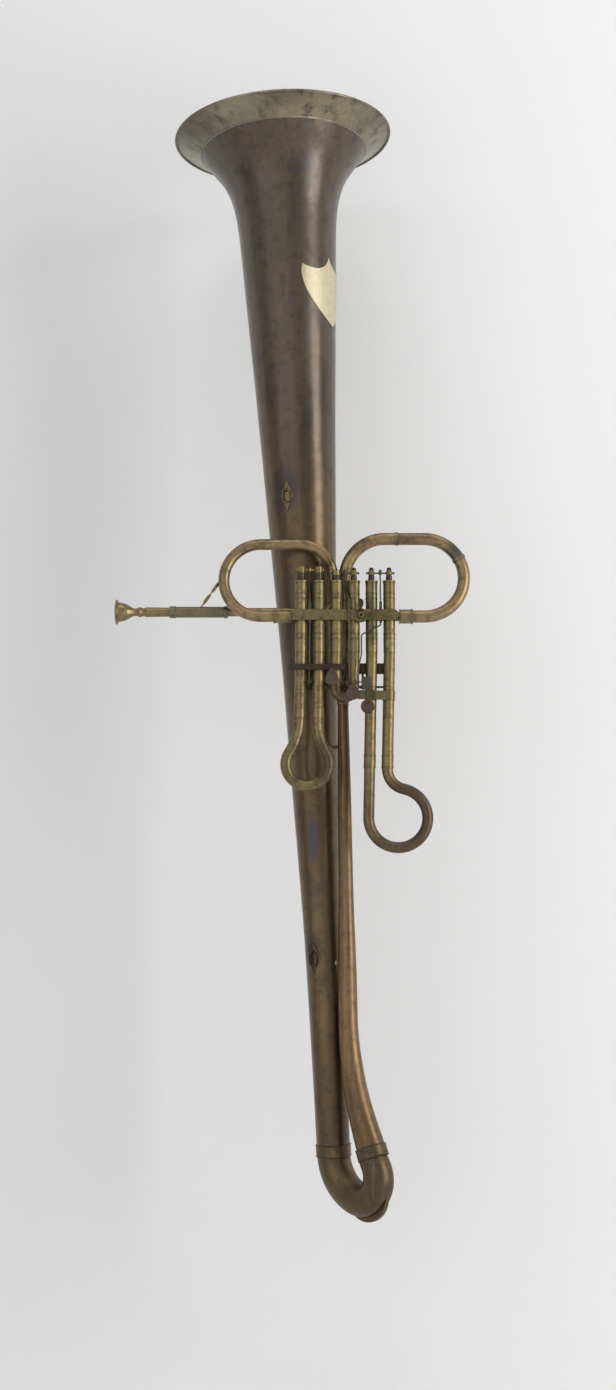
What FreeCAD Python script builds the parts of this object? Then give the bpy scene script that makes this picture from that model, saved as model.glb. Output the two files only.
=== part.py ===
import FreeCAD, Part
import math
import os

# Valved ophicleide with three double-piston valves, in millimetres and degrees.
# The origin is the mouth of the lyre socket on the valve plate. X runs along the valve row towards
# the third valve, Y from the front plate back to the bell, and Z up along the valve casings.

Vector = FreeCAD.Vector
Rotation = FreeCAD.Rotation
Placement = FreeCAD.Placement

RIGHT = Vector(1, 0, 0)
BACK = Vector(0, 1, 0)
UP = Vector(0, 0, 1)

# Fits
SOLDER_GAP = 0.1
RUNNING_GAP = 0.05
TUBE_WALL = 0.7
PATH_STEP = 0.001

# Front plate and lyre socket
SOCKET_STAND = 6.95
SOCKET_R = 4.7
SOCKET_BORE_R = 1.8
SOCKET_DISC_R = 10.0
SOCKET_DISC = 1.0
SOCKET_SPIGOT_R = 3.0
PLATE_THICKNESS = 2.2
PLATE_LEFT_X = -95.5
PLATE_RIGHT_X = 53.0
PLATE_TOP_Z = 8.7
PLATE_BOTTOM_Z = -6.0
PLATE_SEAT = 0.4
SCREW_R = 0.9
SCREW_TIP_Z = 2.1
SCREW_NECK_Z = 10.6
SCREW_HEAD_HEIGHT = 12.4
SCREW_HEAD_WIDTH = 7.2
SCREW_HEAD_THICKNESS = 2.6

# Valve casings, two to each valve
VALVE_PITCH = 24.7
FIRST_CASING_X = -83.6
CASING_R = 8.25
CASING_BORE_R = 6.8
CASING_TOP_Z = 50.4
CASING_FOOT_Z = -51.5
CASING_LIP_R = 8.9
CASING_LIP = 3.0
CASING_BANDS = (31.5, 25.0, -25.0, -32.0)
CASING_BAND_RISE = 0.35
CASING_BAND = 1.4
VALVE_COUNT = 3
LINK_R = 6.5
LINK_BORE_R = 5.5
LEFT_LINK_X = -112.0
RIGHT_LINK_X = 64.0

# Pistons, knobs, crossheads and pull rods
VALVE_TRAVEL = 9.0
PISTON_TOP_Z = 38.0
PISTON_FOOT_Z = -24.0
PISTON_WAIST_R = 4.5
PISTON_WAIST = 10.0
PISTON_PORT_R = 3.4
STEM_R = 2.4
STEM_COLLAR_Z = 50.9
STEM_COLLAR_R = 5.6
BALL_STEM_COLLAR_R = 4.4
CROSSHEAD_ROD_R = 1.1
CROSSHEAD_HUB = 4.6
CROSSHEAD_HEIGHTS = (65.8, 61.4, 61.4)
KNOB_R = 5.7
KNOB_HEIGHTS = (9.6, 8.2)
BALL_KNOB_R = 4.9
ACORN_R = 3.2
ACORN_HEIGHT = 4.0
PULL_WIRE_R = 1.0
PULL_STRIP_WIDTH = 4.0
PULL_STRIP = 0.8
PULL_STRIP_TOP_Z = 20.0
PULL_STRIP_FOOT_Z = -10.0
FIRST_ROD_SHIFT = 1.2
FRONT_ROD_X = -16.8
THIRD_ROD_X = -4.5
ROD_FRONT_GAP = 0.35
EYE_R = 3.0
EYE_THICKNESS = 1.6
EYE_GAP = 0.1

# Levers on one axle behind the tubes
AXLE_Y = 30.0
AXLE_Z = -98.0
AXLE_R = 1.5
AXLE_LEFT_X = -83.0
AXLE_RIGHT_X = 38.0
AXLE_NUT_R = 2.6
AXLE_NUT = 2.0
LEVER_HUB_R = 3.0
LEVER_HUB = 6.4
LEVER_ROD_R = 1.4
LEVER_CLEARANCE = 0.3
STUD_R = 1.0
STUD_HEAD_R = 1.7
STUD_HEAD = 0.8
HEEL_REACH = 6.5
HEEL_ANGLE = 60.0
HEEL_WIDTH = 3.4
HEEL_THICKNESS = 1.4
SPRING_THICKNESS = 0.4
SPRING_WIDTH = 3.4
SPRING_SCREW_R = 0.8
SPRING_SCREW_HEAD_R = 1.5
SPRING_SCREW_HEAD = 0.9
FIRST_HEEL_X = -58.0

# Touch plates
TOUCH_Y = -18.0
TOUCH_TILT = 30.0
TOUCH_THICKNESS = 1.8
TOUCH_DISH = 0.5
TOUCH_PAD = 1.6
FIRST_TOUCH = Vector(-40.8, TOUCH_Y, -89.0)
SECOND_TOUCH = Vector(-12.5, TOUCH_Y, -110.0)
THIRD_TOUCH = Vector(8.0, TOUCH_Y, -130.0)
TEARDROP_WIDTHS = (19.4, 19.8)
TEARDROP_LENGTHS = (29.0, 25.6)
ROUND_TOUCH_WIDTH = 18.6
ROUND_TOUCH_LENGTH = 22.6
SHIN_LEFT_X = 0.9
SHIN_RIGHT_X = 13.9
SHIN_TOP_Z = -87.5
SHIN_FOOT_Z = -105.5
SHIN_Y = -4.5
SHIN_THICKNESS = 1.5

# Rack, rail and band that hold the slide legs
LEG_R = 8.0
LEG_BORE_R = 7.15
SLIDE_LEAN = 1.25
RACK_LEFT_X = -92.0
RACK_RIGHT_X = 48.0
RACK_TOP_Z = -65.0
RACK_FOOT_Z = -80.0
RACK_THICKNESS = 2.9
LUG_XS = (-79.5, -36.5, 15.0, 34.0)
LUG_THICKNESS = 3.0
LUG_FRONT_Y = 26.5
LUG_BACK_Y = 33.3
LUG_FOOT_Z = -101.5
RAIL_LEFT_X = -98.0
RAIL_RIGHT_X = -23.0
RAIL_TOP_Z = -68.0
RAIL_FOOT_Z = -76.0
RAIL_THICKNESS = 1.6
RAIL_NOTCH_R = 1.7
BAND_TOP_Z = -105.2
BAND_FOOT_Z = -118.0
BAND_LEFT_X = -3.0
BAND_THICKNESS = 0.9

# Crooks that draw out of the slide legs
LEG_FEET_Z = (-127.0, -96.9, -194.0)
SLIDE_END_GAP = 0.2
FERRULE_LENGTHS = (17.0, 4.2, 18.5)
FERRULE_R = 8.3
FERRULE_BEAD_RISE = 0.45
FERRULE_BEAD = 1.6
STOCKING_R = 7.1
STOCKING_BORE_R = 6.5
STOCKING_LENGTHS = (40.0, 30.0, 60.0)
CROOK_R = 7.7
FIRST_CROOK_R = 30.0
FIRST_CROOK_Z = -207.0
THIRD_CROOK_R = 40.8
THIRD_CROOK_Z = -281.0

# Left loop and mouthpipe
LEFT_FERRULE_LEFT_X = -122.0
LEFT_FERRULE_RIGHT_X = -97.0
LEFT_LOOP_R = 7.75
LEFT_LOOP_X = -192.0
LEFT_LOOP_BEND_R = 52.0
LEFT_LOOP_TOP_Z = 104.0
LOOP_TOP_Y = 26.0
LEFT_DROP_X = -38.7
LEFT_DROP_BEND_R = 46.5
LEFT_DROP_JOINT_Z = 42.0
MOUTHPIPE_Y = 35.5
MOUTHPIPE_Z = 9.0
MOUTHPIPE_R = 6.05
MOUTHPIPE_ELBOW_R = 20.0
MOUTHPIPE_WALL = 0.6
CUFF_RISE = 1.6

# Right loop
RIGHT_FERRULE_LEFT_X = 53.6
RIGHT_FERRULE_RIGHT_X = 72.6
FERRULE_RISE = 1.1
FERRULE_FLANGE_RISE = 1.0
FERRULE_FLANGE = 2.4
FERRULE_RING_RISE = 0.5
FERRULE_RING = 1.5
RIGHT_LOOP_R = 8.7
RIGHT_LOOP_X = 145.4
RIGHT_LOOP_BEND_R = 56.0
RIGHT_LOOP_TOP_Z = 112.0
RIGHT_DROP_X = -21.7
RIGHT_DROP_Y = 43.5
RIGHT_DROP_KNEE_Z = 20.0
RIGHT_DROP_KNEE_R = 60.0
LOOP_RING_RISE = 0.9
LOOP_RING = 4.0
LEFT_RING_DISTANCE = 293.0
RIGHT_RING_DISTANCES = (142.0, 240.0)

# Mouthpiece and its receiver
RECEIVER_LEFT_X = -260.0
RECEIVER_RIGHT_X = -192.0
RECEIVER_R = 7.75
RECEIVER_RING_R = 8.7
RECEIVER_RING = 5.0
RECEIVER_COLLAR_R = 8.5
RECEIVER_COLLAR = 9.0
RECEIVER_OVERLAP = 20.0
RIM_X = -345.1
RIM_R = 17.6
RIM_DEPTH = 3.1
CUP_R = 13.8
CUP_INNER_R = 12.0
CUP_LENGTH = 25.5
NECK_R = 5.5
THROAT_R = 3.4
BEAD_X = -311.0
BEAD_R = 7.2
SHANK_X = -302.0
SHANK_R = 7.0
SHANK_TAPER = 0.036
SHANK_INSERTION = 34.0
BACKBORE_R = 4.6
RIBBON_WIDTH = 4.5
RIBBON_THICKNESS = 1.5
RIBBON_TURNS = 1.5
RIBBON_FOOT_X = -230.0
RIBBON_HEAD_ANGLE = 172.0

# Bell, whose axis leans to the left at the top
BELL_FOOT = Vector(-38.2, 87.0, -741.0)
BELL_LEAN = 2.845
BELL_WALL = 0.9
BELL_OUTLINE = (
    (0, 23.4), (95, 23.9), (193, 24.8), (304, 26.6), (417, 30.2), (531, 34.3), (646, 38.0),
    (762, 42.8), (879, 48.4), (998, 54.1), (1118, 60.3), (1239, 66.9), (1301, 70.2),
    (1340, 73.2), (1366, 77.2), (1390, 84.2), (1405, 91.0), (1421, 101.5), (1448, 121.5))
GARLAND_OUTLINE = ((1448, 121.5), (1454.5, 130.0), (1461, 139.5), (1466.5, 149.0), (1471.6, 158.8))
RIM_BEAD_R = 1.9
GARLAND_LIP_R = 1.2

# Bottom bow, in a plane turned towards the front right; it tightens towards the branch
BOW_HEADING = -45.6
BOW_DROP = 5.0
WIDE_BEND_R = 60.0
WIDE_TURN = 70.0
TIGHT_BEND_R = 33.0
BOW_TURN = 199.0
BOW_RISE = 23.0
BOW_START_R = 23.2
BOW_END_R = 20.5
BOW_WALL = 0.9
BOW_STEPS = 24
GUARD_ANGLE = 112.0
GUARD_RADIUS = 40.0
GUARD_SHIFT = 23.0
GUARD_INSIDE_R = 45.0
GUARD_THICKNESS = 6.0
BELL_FERRULE_ABOVE = 8.5
BELL_FERRULE_BELOW = 8.0
BRANCH_FERRULE_ABOVE = 8.0
BRANCH_FERRULE_BELOW = 8.0
BOW_FERRULE_WALL = 0.8
BOW_FERRULE_BEAD = 1.6
BRANCH_FERRULE_EASE = 0.2

# Branch from the right loop down to the bow
BRANCH_TOP = Vector(-24.6, 43.5, -122.0)
BRANCH_KNEE_LENGTH = 112.0
BRANCH_BEND_R = 390.0
BRANCH_JOINT = 4.0
BRANCH_WALL = 0.8
BRANCH_RADII = (
    (0.00, 7.7), (0.10, 8.4), (0.19, 9.2), (0.32, 9.9), (0.46, 10.8), (0.55, 12.3), (0.64, 13.3),
    (0.73, 13.9), (0.78, 14.8), (0.87, 16.8), (0.95, 18.9), (1.00, 20.2))

# Shield, strap ring plates and stays on the bell
SKIN_THICKNESS = 0.8
SHIELD_Z = 482.0
SHIELD_TURN = 8.0
SHIELD_AZIMUTH = 60.5
STRAP_AZIMUTHS = (-23.0, -33.0)
STRAP_HEIGHTS = (178.0, -475.0)
STRAP_PLATE_WIDTH = 20.0
STRAP_PLATE_HEIGHT = 42.0
EYE_RISE = 8.0
EYE_STAND = 2.1
EYE_RING_R = 2.0
EYE_WIRE_R = 0.65
RING_WIRE_R = 1.0
RING_WIDTH = 13.0
RING_HEIGHT = 20.0
STAY_R = 2.6
STAY_FOOT_R = 5.2
STAY_FOOT = 4.0
LOWER_STAY = Vector(-75.0, 0.0, -72.0)
UPPER_STAY_X = -98.0
BRANCH_STAY_HEIGHTS = (-180.0, -480.0)

# Places worked out from the sizes above
PLATE_BACK_Y = SOCKET_STAND + PLATE_THICKNESS
VALVE_Y = PLATE_BACK_Y - PLATE_SEAT + CASING_R
STRIP_Y = (PLATE_BACK_Y + VALVE_Y - LINK_R) / 2
FRONT_ROD_Y = SOCKET_STAND - ROD_FRONT_GAP - PULL_WIRE_R
RACK_FRONT_Y = VALVE_Y + LEG_R + SOLDER_GAP
RACK_BACK_Y = RACK_FRONT_Y + RACK_THICKNESS
BELL_AXIS = Vector(-math.sin(math.radians(BELL_LEAN)), 0, math.cos(math.radians(BELL_LEAN)))


def casing_x(number):
    return FIRST_CASING_X + VALVE_PITCH * number


def pair_x(valve):
    """Middle between the two casings of a valve."""
    return casing_x(2 * valve) + VALVE_PITCH / 2


def valve_spot(number, z):
    return Vector(casing_x(number), VALVE_Y, z)


# Shapes that several pieces share

def cylinder(start, axis, length, radius):
    return Part.makeCylinder(radius, length, start, axis)


def ring(start, axis, length, outer_r, inner_r):
    return cylinder(start, axis, length, outer_r).cut(cylinder(start, axis, length, inner_r))


def block(low, high):
    size = high - low
    return Part.makeBox(size.x, size.y, size.z, low)


def turned(outline, start, axis):
    """Solid turned from a closed outline of (radius, distance along the axis) points."""
    corners = [Vector(radius, 0, distance) for radius, distance in outline]
    face = Part.Face(Part.makePolygon(corners + corners[:1]))
    solid = face.revolve(Vector(0, 0, 0), UP, 360)
    solid.Placement = Placement(start, Rotation(UP, axis))
    return solid


def rounded_path(points, radii):
    """Straight runs joined by tangent arcs, with one radius for each inner point."""
    edges = []
    start = points[0]
    for before, corner, after, radius in zip(points, points[1:], points[2:], radii):
        towards = (corner - before).normalize()
        away = (after - corner).normalize()
        half_turn = towards.getAngle(away) / 2
        reach = radius * math.tan(half_turn)
        arc_start = corner - towards * reach
        arc_end = corner + away * reach
        inward = (away - towards).normalize()
        arc_middle = corner + inward * (radius / math.cos(half_turn) - radius)
        if start.distanceToPoint(arc_start) > PATH_STEP:
            edges.append(Part.LineSegment(start, arc_start).toShape())
        edges.append(Part.Arc(arc_start, arc_middle, arc_end).toShape())
        start = arc_end
    if start.distanceToPoint(points[-1]) > PATH_STEP:
        edges.append(Part.LineSegment(start, points[-1]).toShape())
    return Part.Wire(edges)


def along(path, distance):
    """Point and heading on a path, a distance from its start."""
    for edge in path.Edges:
        if distance <= edge.Length:
            break
        distance -= edge.Length
    place = edge.getParameterByLength(min(distance, edge.Length))
    return edge.valueAt(place), edge.tangentAt(place)


def swept(path, outer_r, inner_r=0.0):
    """Round rod or tube along a path."""
    start, heading = along(path, 0.0)
    rims = [Part.Wire(Part.makeCircle(outer_r, start, heading))]
    if inner_r:
        rims.append(Part.Wire(Part.makeCircle(inner_r, start, heading)))
    return path.makePipe(Part.Face(rims))


def swept_rod(points, bends, radius):
    return swept(rounded_path(points, bends), radius)


def lofted(stations, side):
    """Solid through circles; a station is (centre, heading, radius) and side fixes the seam."""
    circles = []
    for centre, heading, radius in stations:
        circle = Part.Wire(Part.makeCircle(radius))
        turn = Rotation(side, heading.cross(side), heading, "ZXY")
        circle.Placement = Placement(centre, turn)
        circles.append(circle)
    return Part.makeLoft(circles, True, False)


def grown(stations, rise):
    return [(centre, heading, radius + rise) for centre, heading, radius in stations]


def spline(points):
    curve = Part.BSplineCurve()
    curve.interpolate(points)
    return curve.toShape()


def offset_outline(outline, rise):
    """Points of a (distance, radius) outline, moved off it along its normal."""
    moved = []
    last = len(outline) - 1
    for index, (distance, radius) in enumerate(outline):
        before = outline[max(index - 1, 0)]
        after = outline[min(index + 1, last)]
        run = after[0] - before[0]
        climb = after[1] - before[1]
        length = math.hypot(run, climb)
        moved.append(Vector(radius + rise * run / length, 0, distance - rise * climb / length))
    return moved


def bell_shell(outline, inner_rise, outer_rise):
    """Shell turned about the bell's axis between two offsets of an outline."""
    inner = offset_outline(outline, inner_rise)
    outer = offset_outline(outline, outer_rise)
    edges = [spline(outer), Part.makeLine(outer[-1], inner[-1]), spline(inner),
             Part.makeLine(inner[0], outer[0])]
    face = Part.Face(Part.Wire(Part.__sortEdges__(edges)))
    return on_bell_axis(face.revolve(Vector(0, 0, 0), UP, 360))


def on_bell_axis(solid):
    solid.Placement = Placement(BELL_FOOT, Rotation(UP, BELL_AXIS))
    return solid


def bell_core(rise):
    """Filled bell, used to cut what is soldered to it."""
    points = offset_outline(BELL_OUTLINE, rise)
    foot = Vector(0, 0, points[0].z)
    top = Vector(0, 0, points[-1].z)
    edges = [spline(points), Part.makeLine(points[-1], top), Part.makeLine(top, foot),
             Part.makeLine(foot, points[0])]
    face = Part.Face(Part.Wire(Part.__sortEdges__(edges)))
    return on_bell_axis(face.revolve(Vector(0, 0, 0), UP, 360))


def bell_centre(z):
    return BELL_FOOT + BELL_AXIS * ((z - BELL_FOOT.z) / BELL_AXIS.z)


def bell_radius(z):
    distance = (z - BELL_FOOT.z) / BELL_AXIS.z
    for (low, low_r), (high, high_r) in zip(BELL_OUTLINE, BELL_OUTLINE[1:]):
        if distance <= high:
            return low_r + (high_r - low_r) * (distance - low) / (high - low)
    return BELL_OUTLINE[-1][1]


# Bell, garland, shield and straps

def bell():
    return bell_shell(BELL_OUTLINE, -BELL_WALL, 0.0)


def bell_garland():
    """Pale flange round the bell mouth, with a lip at the joint and a rolled rim."""
    outline = [(GARLAND_OUTLINE[0][0] + SOLDER_GAP, GARLAND_OUTLINE[0][1] + SOLDER_GAP)]
    outline += GARLAND_OUTLINE[1:]
    flange = bell_shell(outline, -BELL_WALL, 0.0)
    joint, joint_r = outline[0]
    edge, edge_r = outline[-1]
    lip_r = joint_r + GARLAND_LIP_R / 2
    lip = Part.makeTorus(lip_r, GARLAND_LIP_R, Vector(0, 0, joint + GARLAND_LIP_R), UP)
    bead = Part.makeTorus(edge_r - RIM_BEAD_R / 3, RIM_BEAD_R, Vector(0, 0, edge - RIM_BEAD_R / 3), UP)
    return flange.fuse([on_bell_axis(lip), on_bell_axis(bead)])


def facing(azimuth):
    """Outward and sideways directions on the bell; the front is azimuth 0."""
    angle = math.radians(azimuth)
    outward = Vector(math.sin(angle), -math.cos(angle), 0)
    sideways = Vector(math.cos(angle), math.sin(angle), 0)
    return outward, sideways


def cut_from_skin(edges, azimuth, z, turn=0.0):
    """Thin plate on the bell, of the outline drawn in (sideways, height) and turned on the spot."""
    outward, sideways = facing(azimuth)
    face = Part.Face(Part.Wire(edges))
    upright = Rotation(sideways, UP, outward, "ZXY")
    face.Placement = Placement(bell_centre(z), Rotation(outward, turn).multiply(upright))
    prism = face.extrude(outward * (2 * bell_radius(z)))
    skin = bell_shell(BELL_OUTLINE, SOLDER_GAP, SOLDER_GAP + SKIN_THICKNESS)
    return skin.common(prism)


def arc_edge(start, middle, end):
    return Part.Arc(Vector(*start), Vector(*middle), Vector(*end)).toShape()


def line_edge(start, end):
    return Part.makeLine(Vector(*start), Vector(*end))


def shield_plate():
    """Engraver's shield, left plain: scalloped top, rounded sides and a point below."""
    crest = (0, 50, 0)
    scallop = 25.6, 31.4
    corner = 44.0, 37.9
    shoulder = 45.3, 30.0
    flank = 35.3, -17.4
    foot = (0, -50.8, 0)
    edges = [
        arc_edge(crest, (scallop[0], scallop[1], 0), (corner[0], corner[1], 0)),
        line_edge((corner[0], corner[1], 0), (shoulder[0], shoulder[1], 0)),
        arc_edge((shoulder[0], shoulder[1], 0), (flank[0], flank[1], 0), foot),
        arc_edge(foot, (-flank[0], flank[1], 0), (-shoulder[0], shoulder[1], 0)),
        line_edge((-shoulder[0], shoulder[1], 0), (-corner[0], corner[1], 0)),
        arc_edge((-corner[0], corner[1], 0), (-scallop[0], scallop[1], 0), crest)]
    return cut_from_skin(edges, SHIELD_AZIMUTH, SHIELD_Z, SHIELD_TURN)


def strap_eye_centre(index):
    z = STRAP_HEIGHTS[index] + EYE_RISE
    outward, sideways = facing(STRAP_AZIMUTHS[index])
    stand = bell_radius(z) + SOLDER_GAP + SKIN_THICKNESS + EYE_STAND
    return bell_centre(z) + outward * stand


def strap_plate(index):
    half_width = STRAP_PLATE_WIDTH / 2
    half_height = STRAP_PLATE_HEIGHT / 2
    corners = [(0, half_height, 0), (half_width, 0, 0), (0, -half_height, 0), (-half_width, 0, 0)]
    edges = [line_edge(start, end) for start, end in zip(corners, corners[1:] + corners[:1])]
    plate = cut_from_skin(edges, STRAP_AZIMUTHS[index], STRAP_HEIGHTS[index])
    outward, sideways = facing(STRAP_AZIMUTHS[index])
    eye = Part.makeTorus(EYE_RING_R, EYE_WIRE_R, strap_eye_centre(index), sideways)
    return plate.fuse(eye)


def strap_plates():
    return Part.makeCompound([strap_plate(0), strap_plate(1)])


def strap_ring(index):
    """Oval wire ring that hangs from its eye."""
    outward, sideways = facing(STRAP_AZIMUTHS[index])
    bend = RING_WIDTH / 2 - RING_WIRE_R
    run = RING_HEIGHT - RING_WIDTH
    top = strap_eye_centre(index)
    upper = top - UP * bend
    lower = upper - UP * run
    edges = [
        Part.Arc(upper - sideways * bend, top, upper + sideways * bend).toShape(),
        Part.LineSegment(upper + sideways * bend, lower + sideways * bend).toShape(),
        Part.Arc(lower + sideways * bend, lower - UP * bend, lower - sideways * bend).toShape(),
        Part.LineSegment(lower - sideways * bend, upper - sideways * bend).toShape()]
    path = Part.Wire(edges)
    circle = Part.Wire(Part.makeCircle(RING_WIRE_R, upper - sideways * bend, UP))
    return Part.Wire(path).makePipeShell([circle], True, False)


# Bottom bow and branch

def bow_frame():
    """Start, downward and outward directions of the bow, and the normal of its plane."""
    down = BELL_AXIS * -1
    heading = math.radians(BOW_HEADING)
    level = Vector(math.cos(heading), math.sin(heading), 0)
    outward = (level - down * level.dot(down)).normalize()
    return BELL_FOOT, down, outward, down.cross(outward)


def bow_radial(angle):
    """Direction out from the middle of the bow, an angle round from its bell side."""
    start, down, outward, side = bow_frame()
    turn = math.radians(angle)
    return outward * -math.cos(turn) + down * math.sin(turn)


def tight_bend_centre():
    start, down, outward, side = bow_frame()
    wide_centre = start + down * BOW_DROP + outward * WIDE_BEND_R
    return wide_centre + bow_radial(WIDE_TURN) * (WIDE_BEND_R - TIGHT_BEND_R)


def bow_point(angle):
    """Centre and heading of the bow, an angle round from its bell side."""
    start, down, outward, side = bow_frame()
    turn = math.radians(angle)
    heading = down * math.cos(turn) + outward * math.sin(turn)
    if angle > WIDE_TURN:
        return tight_bend_centre() + bow_radial(angle) * TIGHT_BEND_R, heading
    wide_centre = start + down * BOW_DROP + outward * WIDE_BEND_R
    return wide_centre + bow_radial(angle) * WIDE_BEND_R, heading


def bow_end():
    """Where the branch joins the bow, and the heading up out of it."""
    centre, heading = bow_point(BOW_TURN)
    return centre + heading * BOW_RISE, heading


def bow_stations():
    start, down, outward, side = bow_frame()
    stations = [(start, down, BOW_START_R)]
    for step in range(BOW_STEPS + 1):
        share = step / BOW_STEPS
        centre, heading = bow_point(BOW_TURN * share)
        radius = BOW_START_R + (BOW_END_R - BOW_START_R) * share ** 2
        stations.append((centre, heading, radius))
    end, heading = bow_end()
    stations.append((end, heading, BOW_END_R))
    return stations


def bottom_bow():
    side = bow_frame()[3]
    stations = bow_stations()
    return lofted(stations, side).cut(lofted(grown(stations, -BOW_WALL), side))


def bow_guard():
    """Crescent that takes the knocks below the bow."""
    side = bow_frame()[3]
    centre = tight_bend_centre()
    middle = centre + bow_radial(GUARD_ANGLE) * GUARD_SHIFT - side * (GUARD_THICKNESS / 2)
    disc = cylinder(middle, side, GUARD_THICKNESS, GUARD_RADIUS)
    inside = cylinder(centre - side * GUARD_THICKNESS, side, 2 * GUARD_THICKNESS, GUARD_INSIDE_R)
    crescent = disc.cut([inside, lofted(grown(bow_stations(), SOLDER_GAP), side)])
    return max(crescent.Solids, key=lambda piece: piece.Volume)


def bow_ferrule(joint, axis, above, below, radius):
    """Sleeve over a joint, with a bead round each end."""
    inner_r = radius + SOLDER_GAP
    outer_r = inner_r + BOW_FERRULE_WALL
    bead_r = outer_r + BOW_FERRULE_WALL
    length = below + above
    half = BOW_FERRULE_BEAD / 2
    outline = [
        (inner_r, 0), (outer_r, 0), (bead_r, half), (outer_r, 2 * half), (outer_r, length - 2 * half),
        (bead_r, length - half), (outer_r, length), (inner_r, length)]
    return turned(outline, joint - axis * below, axis)


def bell_ferrule():
    return bow_ferrule(BELL_FOOT, BELL_AXIS, BELL_FERRULE_ABOVE, BELL_FERRULE_BELOW,
                       BELL_OUTLINE[0][1] + SOLDER_GAP)


def branch_ferrule():
    end, heading = bow_end()
    return bow_ferrule(end, heading, BRANCH_FERRULE_ABOVE, BRANCH_FERRULE_BELOW,
                       BOW_END_R + BRANCH_FERRULE_EASE)


def branch_path():
    end, heading = bow_end()
    knee = end + heading * BRANCH_KNEE_LENGTH
    foot = end + heading * SOLDER_GAP
    return rounded_path([BRANCH_TOP + (BRANCH_TOP - knee).normalize() * BRANCH_JOINT, knee, foot],
                        [BRANCH_BEND_R])


def branch_stations():
    path = branch_path()
    side = bow_frame()[3]
    stations = []
    for share, radius in BRANCH_RADII:
        centre, heading = along(path, path.Length * share)
        stations.append((centre, heading, radius))
    return stations, side


def branch_tube():
    stations, side = branch_stations()
    return lofted(stations, side).cut(lofted(grown(stations, -BRANCH_WALL), side))


# Loops and their ferrules

def right_loop_path():
    rise_y = RIGHT_DROP_Y
    return rounded_path([
        Vector(RIGHT_LINK_X + SOLDER_GAP, VALVE_Y, 0),
        Vector(RIGHT_LOOP_X, VALVE_Y, 0),
        Vector(RIGHT_LOOP_X, LOOP_TOP_Y, RIGHT_LOOP_TOP_Z),
        Vector(RIGHT_DROP_X, LOOP_TOP_Y, RIGHT_LOOP_TOP_Z),
        Vector(RIGHT_DROP_X, rise_y, RIGHT_DROP_KNEE_Z),
        BRANCH_TOP],
        [RIGHT_LOOP_BEND_R, RIGHT_LOOP_BEND_R - SOLDER_GAP, RIGHT_LOOP_BEND_R, RIGHT_DROP_KNEE_R])


def right_loop():
    return swept(right_loop_path(), RIGHT_LOOP_R, RIGHT_LOOP_R - TUBE_WALL)


def left_loop_path():
    return rounded_path([
        Vector(LEFT_LINK_X - SOLDER_GAP, VALVE_Y, 0),
        Vector(LEFT_LOOP_X, VALVE_Y, 0),
        Vector(LEFT_LOOP_X, LOOP_TOP_Y, LEFT_LOOP_TOP_Z),
        Vector(LEFT_DROP_X, LOOP_TOP_Y, LEFT_LOOP_TOP_Z),
        Vector(LEFT_DROP_X, MOUTHPIPE_Y, LEFT_DROP_JOINT_Z)],
        [LEFT_LOOP_BEND_R, LEFT_LOOP_BEND_R - SOLDER_GAP, LEFT_DROP_BEND_R])


def left_loop():
    return swept(left_loop_path(), LEFT_LOOP_R, LEFT_LOOP_R - TUBE_WALL)


def mouthpipe():
    """Leadpipe from the receiver, round its elbow and up into the left loop."""
    joint = Vector(LEFT_DROP_X, MOUTHPIPE_Y, LEFT_DROP_JOINT_Z)
    corner = Vector(LEFT_DROP_X, MOUTHPIPE_Y, MOUTHPIPE_Z)
    end = Vector(RECEIVER_RIGHT_X - RECEIVER_OVERLAP, MOUTHPIPE_Y, MOUTHPIPE_Z)
    top = joint + UP * CUFF_RISE
    pipe = swept(rounded_path([top, corner, end], [MOUTHPIPE_ELBOW_R]),
                 MOUTHPIPE_R, MOUTHPIPE_R - MOUTHPIPE_WALL)
    half_wall = MOUTHPIPE_WALL / 2
    cuff = turned([(MOUTHPIPE_R - half_wall, 0), (MOUTHPIPE_R + half_wall, CUFF_RISE + LEFT_LOOP_R),
                   (LEFT_LOOP_R, CUFF_RISE), (LEFT_LOOP_R, 0)], top, UP * -1)
    heading = (joint - Vector(LEFT_DROP_X, LOOP_TOP_Y, LEFT_LOOP_TOP_Z)).normalize()
    above = cylinder(joint + heading * SOLDER_GAP, heading * -1, 2 * LEFT_LOOP_R, 2 * LEFT_LOOP_R)
    return pipe.cut(above).fuse(cuff.cut(above))


def link_ferrule(left_x, right_x, joint_x, loop_r, loop_side):
    """Stepped sleeve where a loop butts against the valve windway."""
    outer_r = loop_r + SOLDER_GAP + FERRULE_RISE
    flange_r = outer_r + FERRULE_FLANGE_RISE
    if loop_side < 0:
        start, far = right_x, left_x
    else:
        start, far = left_x, right_x
    length = abs(far - start)
    step = abs(joint_x - start)
    outline = [
        (LINK_R + SOLDER_GAP, 0), (outer_r + FERRULE_RING_RISE, 0), (outer_r + FERRULE_RING_RISE, FERRULE_RING),
        (outer_r, FERRULE_RING), (outer_r, length - FERRULE_FLANGE),
        (flange_r, length - FERRULE_FLANGE), (flange_r, length), (loop_r + SOLDER_GAP, length),
        (loop_r + SOLDER_GAP, step), (LINK_R + SOLDER_GAP, step)]
    return turned(outline, Vector(start, VALVE_Y, 0), RIGHT * loop_side)


def left_loop_ferrule():
    return link_ferrule(LEFT_FERRULE_LEFT_X, LEFT_FERRULE_RIGHT_X, LEFT_LINK_X, LEFT_LOOP_R, -1)


def right_loop_ferrule():
    return link_ferrule(RIGHT_FERRULE_LEFT_X, RIGHT_FERRULE_RIGHT_X, RIGHT_LINK_X, RIGHT_LOOP_R, 1)


def collar(path, distance, tube_r):
    centre, heading = along(path, distance)
    start = centre - heading * (LOOP_RING / 2)
    return ring(start, heading, LOOP_RING, tube_r + SOLDER_GAP + LOOP_RING_RISE, tube_r + SOLDER_GAP)


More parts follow.
